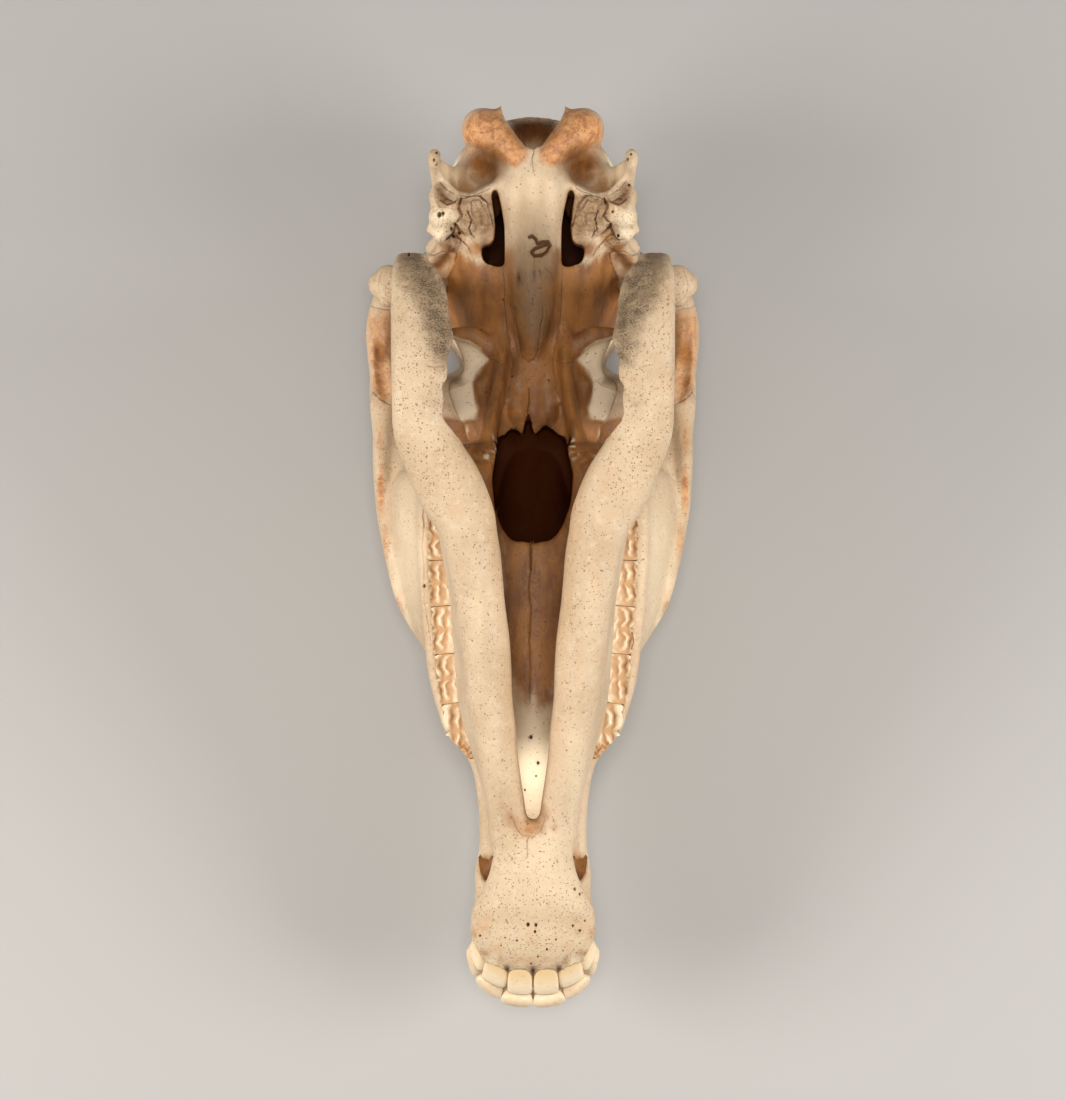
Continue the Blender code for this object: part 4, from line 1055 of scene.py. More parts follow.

# %% [markdown]
# ## Where the marks lie
#
# The photo was taken square to the chewing plane. A point's place in it follows from the camera's
# height and lens, so we can ask of every point of the mesh where it is seen. Cracks, holes, rough
# patches, stains, painted shade and painted light are then given by the photo's pixels, which are
# easy to read off. A mark on the right half is the mirror image of one on the left unless it is
# listed by itself.

# %% From a point on the bone to a place in the photo
def mesh_arrays(made):
    """Points and normals of a piece as arrays."""
    count = len(made.data.vertices)
    points, normals = np.empty(count * 3), np.empty(count * 3)
    made.data.vertices.foreach_get("co", points)
    made.data.vertex_normals.foreach_get("vector", normals)
    return points.reshape(-1, 3), normals.reshape(-1, 3)


def tree_of(made):
    mesh = made.data
    return BVHTree.FromPolygons([v.co for v in mesh.vertices], [p.vertices for p in mesh.polygons])


def seen_at(points):
    """The photo's pixel of each point, and how many millimetres a pixel covers there."""
    scale = (CAMERA_HEIGHT + points[:, 2]) / FOCAL_PIXELS
    seen = np.column_stack([PHOTO_X - points[:, 0] / scale, PHOTO_Y - (points[:, 1] - AIM_Y) / scale])
    return seen, scale


def in_sight(points, normals, trees):
    """Which points the camera sees."""
    camera = Vector((0, AIM_Y, -CAMERA_HEIGHT))
    found = np.zeros(len(points), bool)
    for i, (point, normal) in enumerate(zip(points, normals)):
        way = camera - Vector(point)
        if way.dot(Vector(normal)) > 0:
            start = Vector(point + normal * 0.5)
            found[i] = all(tree.ray_cast(start, way.normalized(), 400)[0] is None for tree in trees)
    return found


def lumps(points, size, seed):
    """Smooth random lumps from -1 to 1, about size mm across."""
    grid = np.random.default_rng(seed).uniform(-1, 1, (32, 32, 32))
    place = points / size
    cell = np.floor(place).astype(int)
    blend = place - cell
    blend = blend * blend * (3 - 2 * blend)
    value = 0
    for corner in np.ndindex(2, 2, 2):
        weight = np.prod(np.where(corner, blend, 1 - blend), axis=1)
        i, j, k = ((cell + corner) % 32).T
        value = value + weight * grid[i, j, k]
    return value


def mirrored(path):
    return [(2 * PHOTO_X - x, y) for x, y in path]


# %% [markdown]
# ## Cracks, seams and small holes
#
# Dry bone cracks along its grain, and bones that grew together keep a seam. Such a line is half a
# millimetre wide, far finer than the mesh. So the mesh is split finer along each line first, and
# then the points nearest to the line are sunk. Small holes for nerves and vessels are made alike,
# and are painted nearly black as painted shade.
# Rough patches are split once and heaved by random lumps. Splitting the whole mesh as fine would
# take millions of faces, and at the end the mesh is thinned again where it lies flat.

# %% Lines and holes on the cranium and the jaw
CRANIUM_LINES = [
    (0.45, 1.2, [(530, 533), (530.5, 550), (531, 570)]),
    (0.3, 0.5, [(531, 570), (529, 590), (531, 612), (529.5, 640), (530.5, 668), (530, 704)]),
    (0.3, 0.6, [(423.5, 498), (423, 512), (423.7, 527)]),
    (0.2, 0.3, [(423.7, 527), (422, 548), (424, 566), (423, 590), (426, 615), (431, 640)]),
    (0.35, 0.7, [(624, 617), (631, 626), (633, 640), (628, 665), (619, 696), (612, 716)]),
    (0.25, 0.4, [(635, 512), (637, 540), (635, 575), (630, 604)]),
    (0.3, 0.5, [(514, 308), (516.5, 330), (519, 347), (522, 356), (527.5, 361), (534, 359), (538.5, 351),
                (541, 330), (544, 308)]),
    (0.3, 0.5, [(534, 148), (532, 160), (533, 172)]),
    (0.4, 0.8, [(528.5, 388), (529, 402), (528, 417)]),
    (0.25, 0.3, [(455, 210), (447, 207), (438, 209), (430, 214)]),
    (0.2, 0.3, [(545, 268), (552, 275), (556, 283)]),
    (0.2, 0.3, [(473, 131), (481, 133), (490, 130), (498, 127)]),
    (0.2, 0.3, [(568, 118), (565, 124), (560, 130), (556, 138)]),
]
# A dried thread on the bar of the base. It stands out, so its depth is below 0
THREAD = [
    (529.5, 237.5), (532.5, 236.5), (535.5, 239.5), (537.5, 244), (542, 242.5), (547.5, 242), (549.5, 246),
    (547, 251.5), (541, 255.5), (534.5, 256), (531.5, 252.5), (535, 249), (541, 246.5), (547, 244.5),
]
CRANIUM_LINES.append((1.5, -0.7, THREAD))
CRANIUM_TWIN_LINES = [
    (0.3, 0.6, [(440, 183), (447, 191), (456, 196), (468, 196), (480, 193), (490, 188)]),
    (0.9, 1.6, [(462, 199), (458, 207), (461, 216), (456, 224), (454, 233), (447, 241)]),
    (0.8, 1.2, [(463, 200), (472, 195), (481, 197), (488, 204), (491, 214), (494, 226)]),
    (0.6, 1.0, [(467, 210), (471, 220), (468, 230), (474, 238)]),
    (0.6, 0.9, [(440, 200), (447, 204), (456, 202)]),
    (0.3, 0.5, [(470, 203), (480, 201), (486, 208), (489, 218)]),
    (0.35, 0.6, [(455, 233), (461, 240), (468, 247), (472, 256)]),
    (0.25, 0.4, [(503, 268), (504, 300), (506, 325), (511, 345), (513, 365), (509, 390), (503, 412)]),
    (0.2, 0.3, [(482, 352), (495, 362), (504, 363)]),
    (0.25, 0.3, [(446, 391), (455, 388.5), (463, 385.5), (471, 380)]),
    (0.2, 0.3, [(458, 262), (461, 252)]),
    (0.5, 0.9, [(456, 253), (455, 262), (449, 277), (444, 288), (438, 296)]),
    (0.3, 0.5, [(425, 253), (433, 255), (444, 252), (456, 253)]),
    (0.3, 0.4, [(367, 305), (380, 308), (393, 310)]),
    (0.3, 0.5, [(372, 392), (381, 399), (392, 405)]),
]
CRANIUM_HOLES = [
    (439, 215, 1.3), (443, 214, 0.9), (424, 586, 0.8), (531, 737, 0.9), (538, 763, 0.8), (516, 752, 0.5),
    (454, 236, 1.1), (460, 232, 0.9), (452, 229, 0.8), (457, 225, 0.7), (629, 186, 0.8), (608, 226, 1.0),
    (618, 236, 0.8), (613, 212, 0.7), (490, 262, 0.9), (503, 300, 0.5), (437, 152, 0.8), (434, 160, 0.7),
    (437, 165, 0.6), (627, 160, 0.7), (631, 154, 0.6), (512, 376, 0.5), (549, 380, 0.5), (486, 392, 0.5),
    (536, 776, 0.5), (525, 790, 0.5),
]
JAW_LINES = [
    (0.25, 0.5, [(527, 840), (527.5, 848), (527, 857)]),
    (0.25, 0.3, [(513, 818), (516, 829), (524, 836), (534, 836), (541, 830), (544, 819)]),
    (0.3, 0.5, [(427, 366), (436, 367), (445, 366)]),
    (0.25, 0.4, [(608, 391), (616, 389), (626, 390)]),
    (0.25, 0.3, [(620, 352), (612, 362), (618, 372)]),
    (0.2, 0.2, [(382, 271), (378, 284), (381, 297), (393, 305)]),
    (0.2, 0.2, [(684, 271), (688, 284), (686, 297), (674, 305)]),
]
JAW_HOLES = [
    (528, 925, 0.9), (536, 925.5, 0.8), (535, 932, 0.7), (517, 941, 0.5), (547, 950, 0.6), (480, 936, 0.6),
    (573, 926, 0.6), (580, 931, 0.6), (585, 921, 0.5), (501, 946, 0.4), (556, 940, 0.5), (531, 964, 0.5),
    (575, 889, 0.7), (580, 894, 0.6), (409, 254, 0.7), (563, 951, 0.4), (538, 957, 0.5), (505, 938, 0.4),
]
CRANIUM_LINES += [(w, d, path) for w, d, twin in CRANIUM_TWIN_LINES for path in (twin, mirrored(twin))]
CRANIUM_ROUGH = [
    (475, 214, 19, 1.5), (444, 194, 10, 0.75), (441, 220, 14, 0.55), (452, 241, 10, 1.4), (437, 155, 10, 0.6),
    (484, 455, 9, 1.0),
    (466, 436, 9, 0.6), (452, 744, 12, 0.8), (371, 393, 8, 0.9), (379, 440, 7, 0.4), (379, 480, 7, 0.4),
    (384, 530, 7, 0.4), (391, 570, 7, 0.4), (401, 612, 8, 0.6), (410, 634, 8, 0.6), (378, 352, 12, 0.4),
]
CRANIUM_ROUGH += [(2 * PHOTO_X - x, y, reach, rise) for x, y, reach, rise in CRANIUM_ROUGH]
CRANIUM_ROUGH += [(540, 114, 26, 0.9), (515, 430, 15, 0.9), (548, 432, 15, 0.9), (530, 422, 10, 0.6)]
JAW_ROUGH = [
    (428, 262, 18, 0.35), (433, 290, 20, 0.4), (440, 325, 20, 0.4), (440, 360, 18, 0.4), (435, 400, 18, 0.3),
    (405, 255, 14, 0.4), (400, 300, 16, 0.2), (415, 440, 18, 0.2), (530, 945, 34, 0.12), (495, 945, 25, 0.12),
]
JAW_ROUGH += [(2 * PHOTO_X - x, y, reach, rise) for x, y, reach, rise in JAW_ROUGH]


# %% Split a mesh, and measure to lines, holes and rough patches
def refine(made, chosen, longest=0.0):
    """Splits in half every edge that joins two chosen points and is longer than longest."""
    clay = bmesh.new()
    clay.from_mesh(made.data)
    before = len(clay.verts)
    chosen = chosen.tolist()
    edges = [e for e in clay.edges if all(chosen[v.index] for v in e.verts) and e.calc_length() > longest]
    bmesh.ops.subdivide_edges(clay, edges=edges, cuts=1)
    bmesh.ops.triangulate(clay, faces=clay.faces)
    clay.verts.ensure_lookup_table()
    added = clay.verts[before:]
    bmesh.ops.smooth_vert(clay, verts=added, factor=0.5, use_axis_x=True, use_axis_y=True, use_axis_z=True)
    clay.to_mesh(made.data)
    clay.free()


def line_reach(points, lines):
    """Distance in mm to the nearest line's edge, and that line's depth."""
    seen, scale = seen_at(points)
    seen = seen + np.column_stack([lumps(points, 3.1, 5), lumps(points, 3.1, 6)]) * 0.7
    away, depth = np.full(len(points), 99.0), np.zeros(len(points))
    for width, deep, path in lines:
        now = line_distance(seen, path) * scale - width / 2
        depth = np.where(now < away, deep, depth)
        away = np.minimum(away, now)
    return away, depth


def hole_reach(points, holes):
    """Distance in mm to the nearest hole's rim, and that hole's radius."""
    seen, scale = seen_at(points)
    away, radius = np.full(len(points), 99.0), np.zeros(len(points))
    for x, y, r in holes:
        now = np.hypot(seen[:, 0] - x, (seen[:, 1] - y) * 0.8) * scale - r
        radius = np.where(now < away, r, radius)
        away = np.minimum(away, now)
    return away, radius


def creases(points, size, seed):
    """1 along the creases of a lumpy surface, 0 elsewhere."""
    return np.clip(1 - np.abs(lumps(points, size, seed)) / 0.16, 0, 1)


def rough_rise(points, zones):
    """How many mm the rough patches may rise and sink at each point."""
    seen, _ = seen_at(points)
    rise = np.zeros(len(points))
    for x, y, reach, high in zones:
        away = np.hypot(seen[:, 0] - x, seen[:, 1] - y) / reach
        rise = np.maximum(rise, high * np.clip(1.25 - away, 0, 1) ** 0.5 * (away < 1.25))
    return rise


# %% Roughen, crack and drill
# Each pass splits the edges near a line or hole: how near, and down to which length, in mm
FINER_PASSES = ((18, 8), (11, 4.5), (5.0, 2.2), (2.8, 1.3), (1.7, 0.8), (1.1, 0.45))
LINE_BORDER, HOLE_BORDER = 0.35, 0.3


def weather(made, lines, holes, zones, trees):
    """Splits the mesh where there is detail, and then moves its points."""
    points, normals = mesh_arrays(made)
    sight = in_sight(points, normals, trees)
    refine(made, sight & (rough_rise(points, zones) > 0.1))
    for reach, longest in FINER_PASSES:
        points, normals = mesh_arrays(made)
        near = np.minimum(line_reach(points, lines)[0], hole_reach(points, holes)[0])
        near[normals[:, 2] > 0.3] = 99
        refine(made, near < reach, longest)
    points, normals = mesh_arrays(made)
    sight = in_sight(points, normals, trees)
    rise = rough_rise(points, zones) * np.clip(0.5 - normals[:, 2], 0, 1)
    bump = 0.6 * lumps(points, 4.5, 1) + 0.45 * lumps(points, 2.0, 2) - 0.25
    away, depth = line_reach(points, lines)
    crack = np.clip(1 - away / LINE_BORDER, 0, 1) * sight
    hole_away, radius = hole_reach(points, holes)
    hole = np.clip(0.5 - hole_away / HOLE_BORDER, 0, 1) * sight
    inward = crack * depth + hole * radius * 1.6
    craggy = np.clip(rise - 0.45, 0, 0.5) * 2 * creases(points, 6.5, 3)
    points = points + normals * (rise * bump - inward - craggy * 0.9)[:, None]
    paint(made, "crease", craggy * sight)
    made.data.vertices.foreach_set("co", points.ravel())
    made.data.update()
    faded = 0.35 + 0.65 * np.clip(0.5 + lumps(points, 5.0, 9), 0, 1)
    strength = np.where(depth < 0, 1.0, np.clip(depth + 0.1, 0.3, 0.75) * faded)
    # Cracks and seams are dark in their own colour; holes are painted fully dark as painted shade.
    paint(made, "crack", np.maximum(crack * strength, hole))
    paint(made, "coarse", rough_rise(points, zones))
    print(made.name, "has", len(made.data.polygons), "faces")


CRANIUM_START, JAW_START, CRANIUM_END = 130_000, 95_000, 196_000
thin_out(cranium, CRANIUM_START)
thin_out(jaw, JAW_START)
trees = [tree_of(cranium), tree_of(jaw)]
weather(cranium, CRANIUM_LINES, CRANIUM_HOLES, CRANIUM_ROUGH, trees)
weather(jaw, JAW_LINES, JAW_HOLES, JAW_ROUGH, trees)
# Where the fine mesh lies flat it isn't needed any more
thin_out(cranium, CRANIUM_END)
print("cranium at the end", len(cranium.data.polygons), "faces")

# %% [markdown]
# ## Reading the surface
#
# Old bone is pale where hands and sand have rubbed it and where a highlight is painted on its edges,
# and brown in its hollows, where dirt and grease stay and where shade is painted. Both follow from
# shape. For each point we send rays out over the surface: the more of them end on bone nearby, the
# deeper the point lies. The same rays sent inward tell where the bone is thin or ends in an edge:
# there they leave it again at once.

# %% Hollows and edges
def sphere_directions(count):
    """Evenly spread directions, on a golden spiral."""
    k = np.arange(count) + 0.5
    z = 1 - 2 * k / count
    turn = math.pi * (1 + math.sqrt(5)) * k
    flat = np.sqrt(1 - z * z)
    return np.column_stack([flat * np.cos(turn), flat * np.sin(turn), z])


def hollowness(points, normals, trees, reach, near_reach, rays):
    """How much bone stands round a point: over a wide and over a short reach, each from 0 to 1."""
    directions = sphere_directions(rays)
    facing = normals @ directions.T
    arrows = [Vector(d) for d in directions]
    wide, short = np.zeros(len(points)), np.zeros(len(points))
    for i, (point, normal) in enumerate(zip(points, normals)):
        start = Vector(point + normal * 0.25)
        total = 0.0
        for j in np.nonzero(facing[i] > 0.12)[0]:
            weight = facing[i, j]
            total += weight
            near = reach
            for tree in trees:
                hit = tree.ray_cast(start, arrows[j], near)[3]
                if hit is not None:
                    near = hit
            wide[i] += weight * (1 - near / reach)
            short[i] += weight * max(0.0, 1 - near / near_reach)
        wide[i] /= max(total, 1e-6)
        short[i] /= max(total, 1e-6)
    return wide, short


trees = [tree_of(cranium), tree_of(jaw)]
RAYS = 26
# How far the rays reach, in mm: out into hollows, out into crevices, and inward through thin walls
HOLLOW_REACH, CREVICE_REACH, WALL_REACH = 60.0, 7.0, 4.0
for made in (cranium, jaw):
    points, normals = mesh_arrays(made)
    wide, short = hollowness(points, normals, trees, HOLLOW_REACH, CREVICE_REACH, RAYS)
    paint(made, "hollow", wide)
    paint(made, "crevice", short)
    paint(made, "edge", hollowness(points, -normals, [tree_of(made)], WALL_REACH, WALL_REACH / 2, RAYS)[0])
    print(made.name, "hollow up to", round(wide.max(), 2), "crevice up to", round(short.max(), 2))

# %% [markdown]
# ## Stains and painted shade
#
# The photo shows where this skull is stained: orange on the condyles and grey-black mottles on the
# corners of the jaw. Between the two halves of the jaw it is deep brown, as stain and painted
# shade. Areas with a clear border are outlines, the others are soft blots. Each becomes one number
# for each point, which the bone material reads and breaks up with noise.

# %% Outlines and blots
def within(seen, outline):
    """Distance in pixels to an outline, above 0 inside it."""
    outline = np.array(outline, float)
    inside = np.zeros(len(seen), bool)
    for (ax, ay), (bx, by) in zip(outline, np.roll(outline, -1, 0)):
        crosses = (ay > seen[:, 1]) != (by > seen[:, 1])
        at = ax + (seen[:, 1] - ay) * (bx - ax) / (by - ay if by != ay else 1e-9)
        inside ^= crosses & (seen[:, 0] < at)
    away = line_distance(seen, np.vstack([outline, outline[:1]]))
    return np.where(inside, away, -away)


def area(seen, outline, soft, strength=1.0):
    """A stain with an outline, mirrored onto the other half."""
    found = np.maximum(within(seen, outline), within(seen, mirrored(outline)))
    return strength * np.clip(0.5 + found / soft, 0, 1)


def blots(seen, rows, fold=True):
    """Soft stains: rows of pixel x, y, half width, half height and strength, on both halves."""
    folded = np.column_stack([PHOTO_X - np.abs(seen[:, 0] - PHOTO_X), seen[:, 1]]) if fold else seen
    found = np.zeros(len(seen))
    for x, y, wide, high, strength in rows:
        away = np.hypot((folded[:, 0] - x) / wide, (folded[:, 1] - y) / high)
        found = np.maximum(found, strength * np.clip(1.4 - away, 0, 1))
    return found


def looked_at(made):
    """Points, their pixels in the photo, and 1 where the surface faces the camera."""
    points, normals = mesh_arrays(made)
    return points, seen_at(points)[0], np.clip(0.45 - normals[:, 2], 0, 0.5) / 0.5


# %% Outlines of the stains, painted shade and painted light with a clear border
CHIN_NOTCH = [(503, 806), (514, 812), (523, 822), (538, 820), (545, 808), (550, 816), (545, 833),
              (530, 840), (515, 835), (506, 824)]
CONDYLE = [
    (500, 101), (479, 109), (466, 118), (460, 132), (463, 142), (477, 149), (493, 155), (503, 163),
    (516, 168), (526, 162), (528, 148), (521, 144), (506, 120),
]
INNER_BASE = [
    (550, 240), (505, 248), (500, 266), (470, 262), (448, 240), (430, 258), (440, 300), (449, 330),
    (455, 341), (468, 342), (479, 348), (489, 359), (481, 369), (475, 379), (472, 388), (474, 399),
    (478, 408), (477, 419), (460, 421), (436, 415), (440, 440), (470, 505), (498, 560), (512, 724),
    (550, 724),
]
ARCH_FACE = [(365, 312), (394, 310), (394, 402), (379, 404), (369, 382), (364, 345)]
ORBIT_HOOK = [
    (449, 334), (459, 338), (470, 341), (480, 348), (488, 359.5), (482, 366), (476, 372), (473, 381),
    (466, 386), (461, 380), (464, 370), (463, 358), (456, 346),
]
ORBIT_PLATE = [(448, 390), (458, 386), (472, 381.5), (474, 397), (477, 411), (474, 419), (461, 421),
               (455, 410)]
EAR_PLATE = [(425, 256), (433, 252), (456, 253), (455, 262), (449, 277), (443, 289), (434, 295), (428, 280)]
JAW_CORNER = [
    (398, 250), (425, 246), (445, 258), (454, 290), (460, 325), (455, 360), (440, 366), (428, 350),
    (420, 320), (408, 292), (400, 272),
]

NAPE_HOLE = [(508, 118), (558, 118), (550, 138), (544, 148), (522, 148), (516, 138)]
print("outlines", [len(outline) for outline in (CONDYLE, INNER_BASE, ARCH_FACE, EAR_PLATE, JAW_CORNER)])

# %% [markdown]
# ## Where it stays dark
#
# Deep inside the nose and the braincase no light came back to the camera. The mesh's own shade is
# never that black under soft lights, so the inner walls are painted nearly black. They are found by
# their place and by how hollow they lie, which keeps the paint off the outside. The nape hole fades
# into the dark, and two spots and the dried thread on the skull base are dark too.

# %% Dark walls, spots and thread
points, seen, front = looked_at(cranium)
ragged = lumps(points, 5, 11)
hollow = np.empty(len(points), np.float32)
cranium.data.attributes["hollow"].data.foreach_get("value", hollow)
deep_tunnel = (np.abs(points[:, 0]) < 21.5 + 2 * ragged) & (points[:, 1] > 40)
deep_tunnel &= points[:, 1] < 322 + 5 * ragged
deep_tunnel &= (points[:, 2] > 33) & (points[:, 2] < 112)
deep_tunnel |= (within(seen, REAR_NOSTRILS) > -1) & (points[:, 2] > 42) & (points[:, 2] < 112)
deep_tunnel &= (hollow > 0.3) | (points[:, 1] > 150)
deep_brain = np.linalg.norm((points - (0, 425, 106)) / (43, 72, 40), axis=1) < 1
dark = np.where(deep_tunnel | deep_brain, 1.0, 0.0)
deep_nape = np.clip(0.5 + within(seen, NAPE_HOLE) / 7, 0, 1) * np.where(points[:, 2] > 62, 0.75, 0)
deep_nape *= 1 - blots(seen, [(534, 143, 11, 6, 0.7)])
dark = np.maximum(dark, deep_nape)
spots = blots(seen, [(520, 278, 3.5, 6, 1.0), (537, 273, 5, 4.5, 1.0)], fold=False)
dark = np.maximum(dark, 0.9 * spots * np.clip(0.8 + 1.2 * ragged, 0, 1) * front)
paint(cranium, "dark", np.maximum(dark, np.clip(1.6 - line_distance(seen, THREAD) / 1.2, 0, 0.9) * front))
print("dark points", int((dark > 0.5).sum()), "of", len(dark))

# %% [markdown]
# ## Stains and painted light of the cranium
#
# Each mark is one attribute, from 0 to 1. Rust is the orange of condyles and cheek arches, brown
# the grease and painted shade between the two halves of the jaw, grey the dirt and painted shade on
# the bar of the base, pale what is rubbed or chipped clean and the painted light on the orbit's
# hook and plate, blush the pinkish flush of thin bone with a painted highlight on the palate, and
# speck how thick the pits stand.

# %% Rust, brown, grey, pale, blush and speck of the cranium
rust = np.maximum(area(seen, CONDYLE, 9, 0.85), area(seen, ARCH_FACE, 12, 0.62))
rust = np.maximum(rust, blots(seen, [
    (380, 440, 4, 26, 0.5), (381, 490, 4, 30, 0.8), (386, 540, 5, 30, 0.5), (398, 610, 7, 22, 0.5),
    (370, 290, 5, 14, 0.3), (381, 335, 10, 14, 0.5),
]))
paint(cranium, "rust", rust * front)
streaks = lumps(points * (1, 0.22, 1), 3.5, 21) + 0.6 * lumps(points, 9, 22)
# Brown, as grease and painted shade: between the two halves of the jaw from the skull base to the front of
# the palate, and in blots elsewhere.
start = 236 - 16 * np.exp(-(((seen[:, 0] - PHOTO_X) / 30) ** 2)) + 16 * streaks
brown = area(seen, INNER_BASE, 7) * np.clip(0.5 + (seen[:, 1] - start) / 75, 0, 1)
brown *= np.clip((726 - seen[:, 1] + 14 * streaks) / 45, 0, 1)
brown = np.maximum(brown, blots(seen, [
    (484, 164, 20, 20, 0.9), (457, 238, 7, 8, 0.6), (474, 214, 22, 22, 0.3), (443, 194, 10, 8, 0.15),
    (462, 204, 6, 10, 0.4), (381, 352, 8, 13, 0.95),
    (378, 385, 6, 12, 0.6), (430, 268, 26, 14, 0.5), (490, 240, 12, 26, 0.4), (530, 133, 24, 14, 0.9),
    (462, 748, 12, 10, 0.5), (486, 868, 8, 14, 0.9), (441, 190, 6, 8, 0.5),
    (466, 148, 12, 6, 0.4), (477, 250, 10, 8, 0.7),
]))
chips = np.clip(0.4 + 1.6 * lumps(points, 2.6, 23), 0, 1) * blots(seen, [
    (494, 448, 5, 13, 1.2), (467, 430, 3.5, 14, 0.6), (487, 456, 6, 5, 1.0), (470, 452, 5, 9, 0.6),
])
plate = 0.45 * area(seen, EAR_PLATE, 4) * np.where(points[:, 2] < 98, 1, 0)
# Painted light: the orbit's hook and plate are painted pale and kept free of brown.
hook_and_plate_light = np.maximum(area(seen, ORBIT_HOOK, 2.5), area(seen, ORBIT_PLATE, 2.5)) * front
brown *= 1 - np.maximum(hook_and_plate_light, plate)
# Painted highlights on the two lobes of the palatine, and less brown along the middle of the base bar.
highlight_and_wear = blots(seen, [(519, 384, 10, 16, 0.3), (512, 399, 9, 9, 0.4), (534, 250, 12, 40, 0.25)])
brown *= 1 - np.maximum(chips, highlight_and_wear)
paint(cranium, "brown", brown * np.where(points[:, 1] > 60, 1, 0))
# Grey: dirt and painted shade on the bar of the base, and painted shade in the crease between the orbit's
# hook and plate.
paint(cranium, "grey", blots(seen, [
    (525, 215, 10, 40, 0.6), (507, 215, 5, 30, 0.5), (533, 250, 30, 50, 1.0), (533, 300, 24, 50, 0.8),
    (437, 157, 6, 10, 0.5),
    (533, 210, 24, 22, 0.5), (455, 380, 11, 5, 0.9), (455, 352, 5, 10, 0.4),
]) * front)
paint(cranium, "pale", np.maximum(np.maximum(chips, hook_and_plate_light), blots(seen, [
    (442, 220, 14, 14, 1.0), (531, 190, 26, 14, 0.4), (440, 232, 10, 8, 0.9), (405, 560, 16, 90, 0.4),
    (530, 760, 22, 48, 1.0), (482, 407, 6, 12, 0.5), (452, 168, 12, 18, 0.8),
])) * front)
# The first blush is a painted highlight on a lobe of the palatine; the others are a pinkish flush.
paint(cranium, "blush", blots(seen, [
    (512, 399, 8, 8, 0.9), (396, 540, 7, 14, 0.5), (406, 591, 9, 14, 0.6), (425, 690, 8, 30, 0.3),
    (478, 220, 16, 16, 0.3), (440, 205, 12, 12, 0.4),
    (370, 290, 9, 16, 0.7), (372, 372, 8, 24, 0.4), (378, 460, 8, 40, 0.4), (489, 151, 6, 10, 0.5),
    (458, 752, 9, 9, 0.6),
]) * front)
paint(cranium, "speck", np.clip(0.25 + blots(seen, [
    (445, 215, 22, 26, 0.7), (475, 215, 20, 20, 0.5), (480, 125, 22, 20, 0.5), (385, 480, 10, 90, 0.3),
]), 0, 1) * front)

print("brown points", int((brown > 0.5).sum()), "rust points", int((rust * front > 0.5).sum()))

# %% [markdown]
# ## Stains of the lower jaw
#
# The jaw is cleaner. Its corners are mottled grey, and the bone at the chin is flushed and full of
# pits. The notch of the chin is brown, and along the gum and between the front teeth shade is
# painted brown and nearly black.

# %% Stains of the lower jaw
points, seen, front = looked_at(jaw)
# Painted shade: four nearly black spots, three of them in the gaps between the front teeth.
paint(jaw, "dark", blots(seen, [
    (507, 969, 2.6, 4.5, 1.0), (532.5, 971.5, 2.2, 5, 1.0), (482, 963, 3, 4, 0.8), (459, 868, 5, 8, 0.5),
]) * front)
paint(jaw, "rust", blots(seen, [
    (430, 392, 9, 22, 0.2), (488, 926, 10, 14, 0.35), (497, 948, 9, 8, 0.35), (531, 938, 8, 14, 0.3),
    (480, 930, 7, 14, 0.35), (495, 600, 6, 8, 0.2), (533, 960, 36, 5, 0.35), (504, 740, 5, 8, 0.25),
]) * front)
# Brown in the notch of the chin, round a hole at the jaw's corner and on the chin; along the gum and between
# the front teeth it is painted shade.
paint(jaw, "brown", np.maximum(0.62 * np.clip(0.45 + within(seen, CHIN_NOTCH) / 14, 0, 1), blots(seen, [
    (530, 822, 9, 5, 0.6), (512, 826, 5, 8, 0.35),
    (533, 968, 42, 4, 0.35), (411, 254, 12, 6, 0.6), (500, 962, 5, 8, 0.4),
    (504, 974, 5, 5, 0.7), (531, 979, 4, 6, 0.7), (483, 953, 8, 4, 0.5), (473, 935, 4, 8, 0.4),
])) * front)
mottle = np.maximum(area(seen, JAW_CORNER, 26, 1.1), blots(seen, [
    (439, 330, 14, 24, 0.5), (411, 262, 14, 10, 0.5), (432, 400, 14, 20, 0.3),
])) * front
paint(jaw, "mottle", mottle)
dust = blots(seen, [(418, 330, 40, 90, 0.35), (425, 440, 30, 60, 0.2)])
paint(jaw, "grey", np.maximum(mottle, front * dust))
paint(jaw, "pale", blots(seen, [
    (475, 640, 8, 90, 0.15), (490, 760, 10, 60, 0.2), (531, 880, 60, 50, 0.35), (520, 940, 60, 24, 0.35),
]) * front)
paint(jaw, "blush", blots(seen, [
    (454, 513, 8, 9, 0.5), (474, 606, 9, 8, 0.5), (486, 715, 8, 7, 0.4), (505, 748, 6, 8, 0.45),
    (481, 928, 8, 15, 0.5),
    (497, 947, 9, 8, 0.5), (408, 360, 18, 50, 0.4), (430, 395, 10, 24, 0.35), (432, 440, 10, 14, 0.3),
    (531, 945, 10, 14, 0.4),
    (415, 250, 12, 8, 0.4),
]) * front)
paint(jaw, "speck", np.clip(0.3 + blots(seen, [
    (420, 330, 40, 90, 1.0), (425, 430, 34, 80, 0.9), (531, 925, 75, 60, 0.9), (531, 860, 60, 60, 0.6),
    (480, 620, 26, 130, 0.25),
]), 0, 1) * front)


print("mottled points", int((mottle > 0.5).sum()), "of", len(mottle))


# %% Keep each point's own place
def keep_place(made):
    """Stores each point's place in the animal's frame, in mm, so that grain has its real size."""
    points, _ = mesh_arrays(made)
    layer = made.data.attributes.new("place", "FLOAT_VECTOR", "POINT")
    layer.data.foreach_set("vector", points.ravel().astype(np.float32))


for made in [cranium, jaw] + [tooth for _, tooth in teeth]:
    keep_place(made)
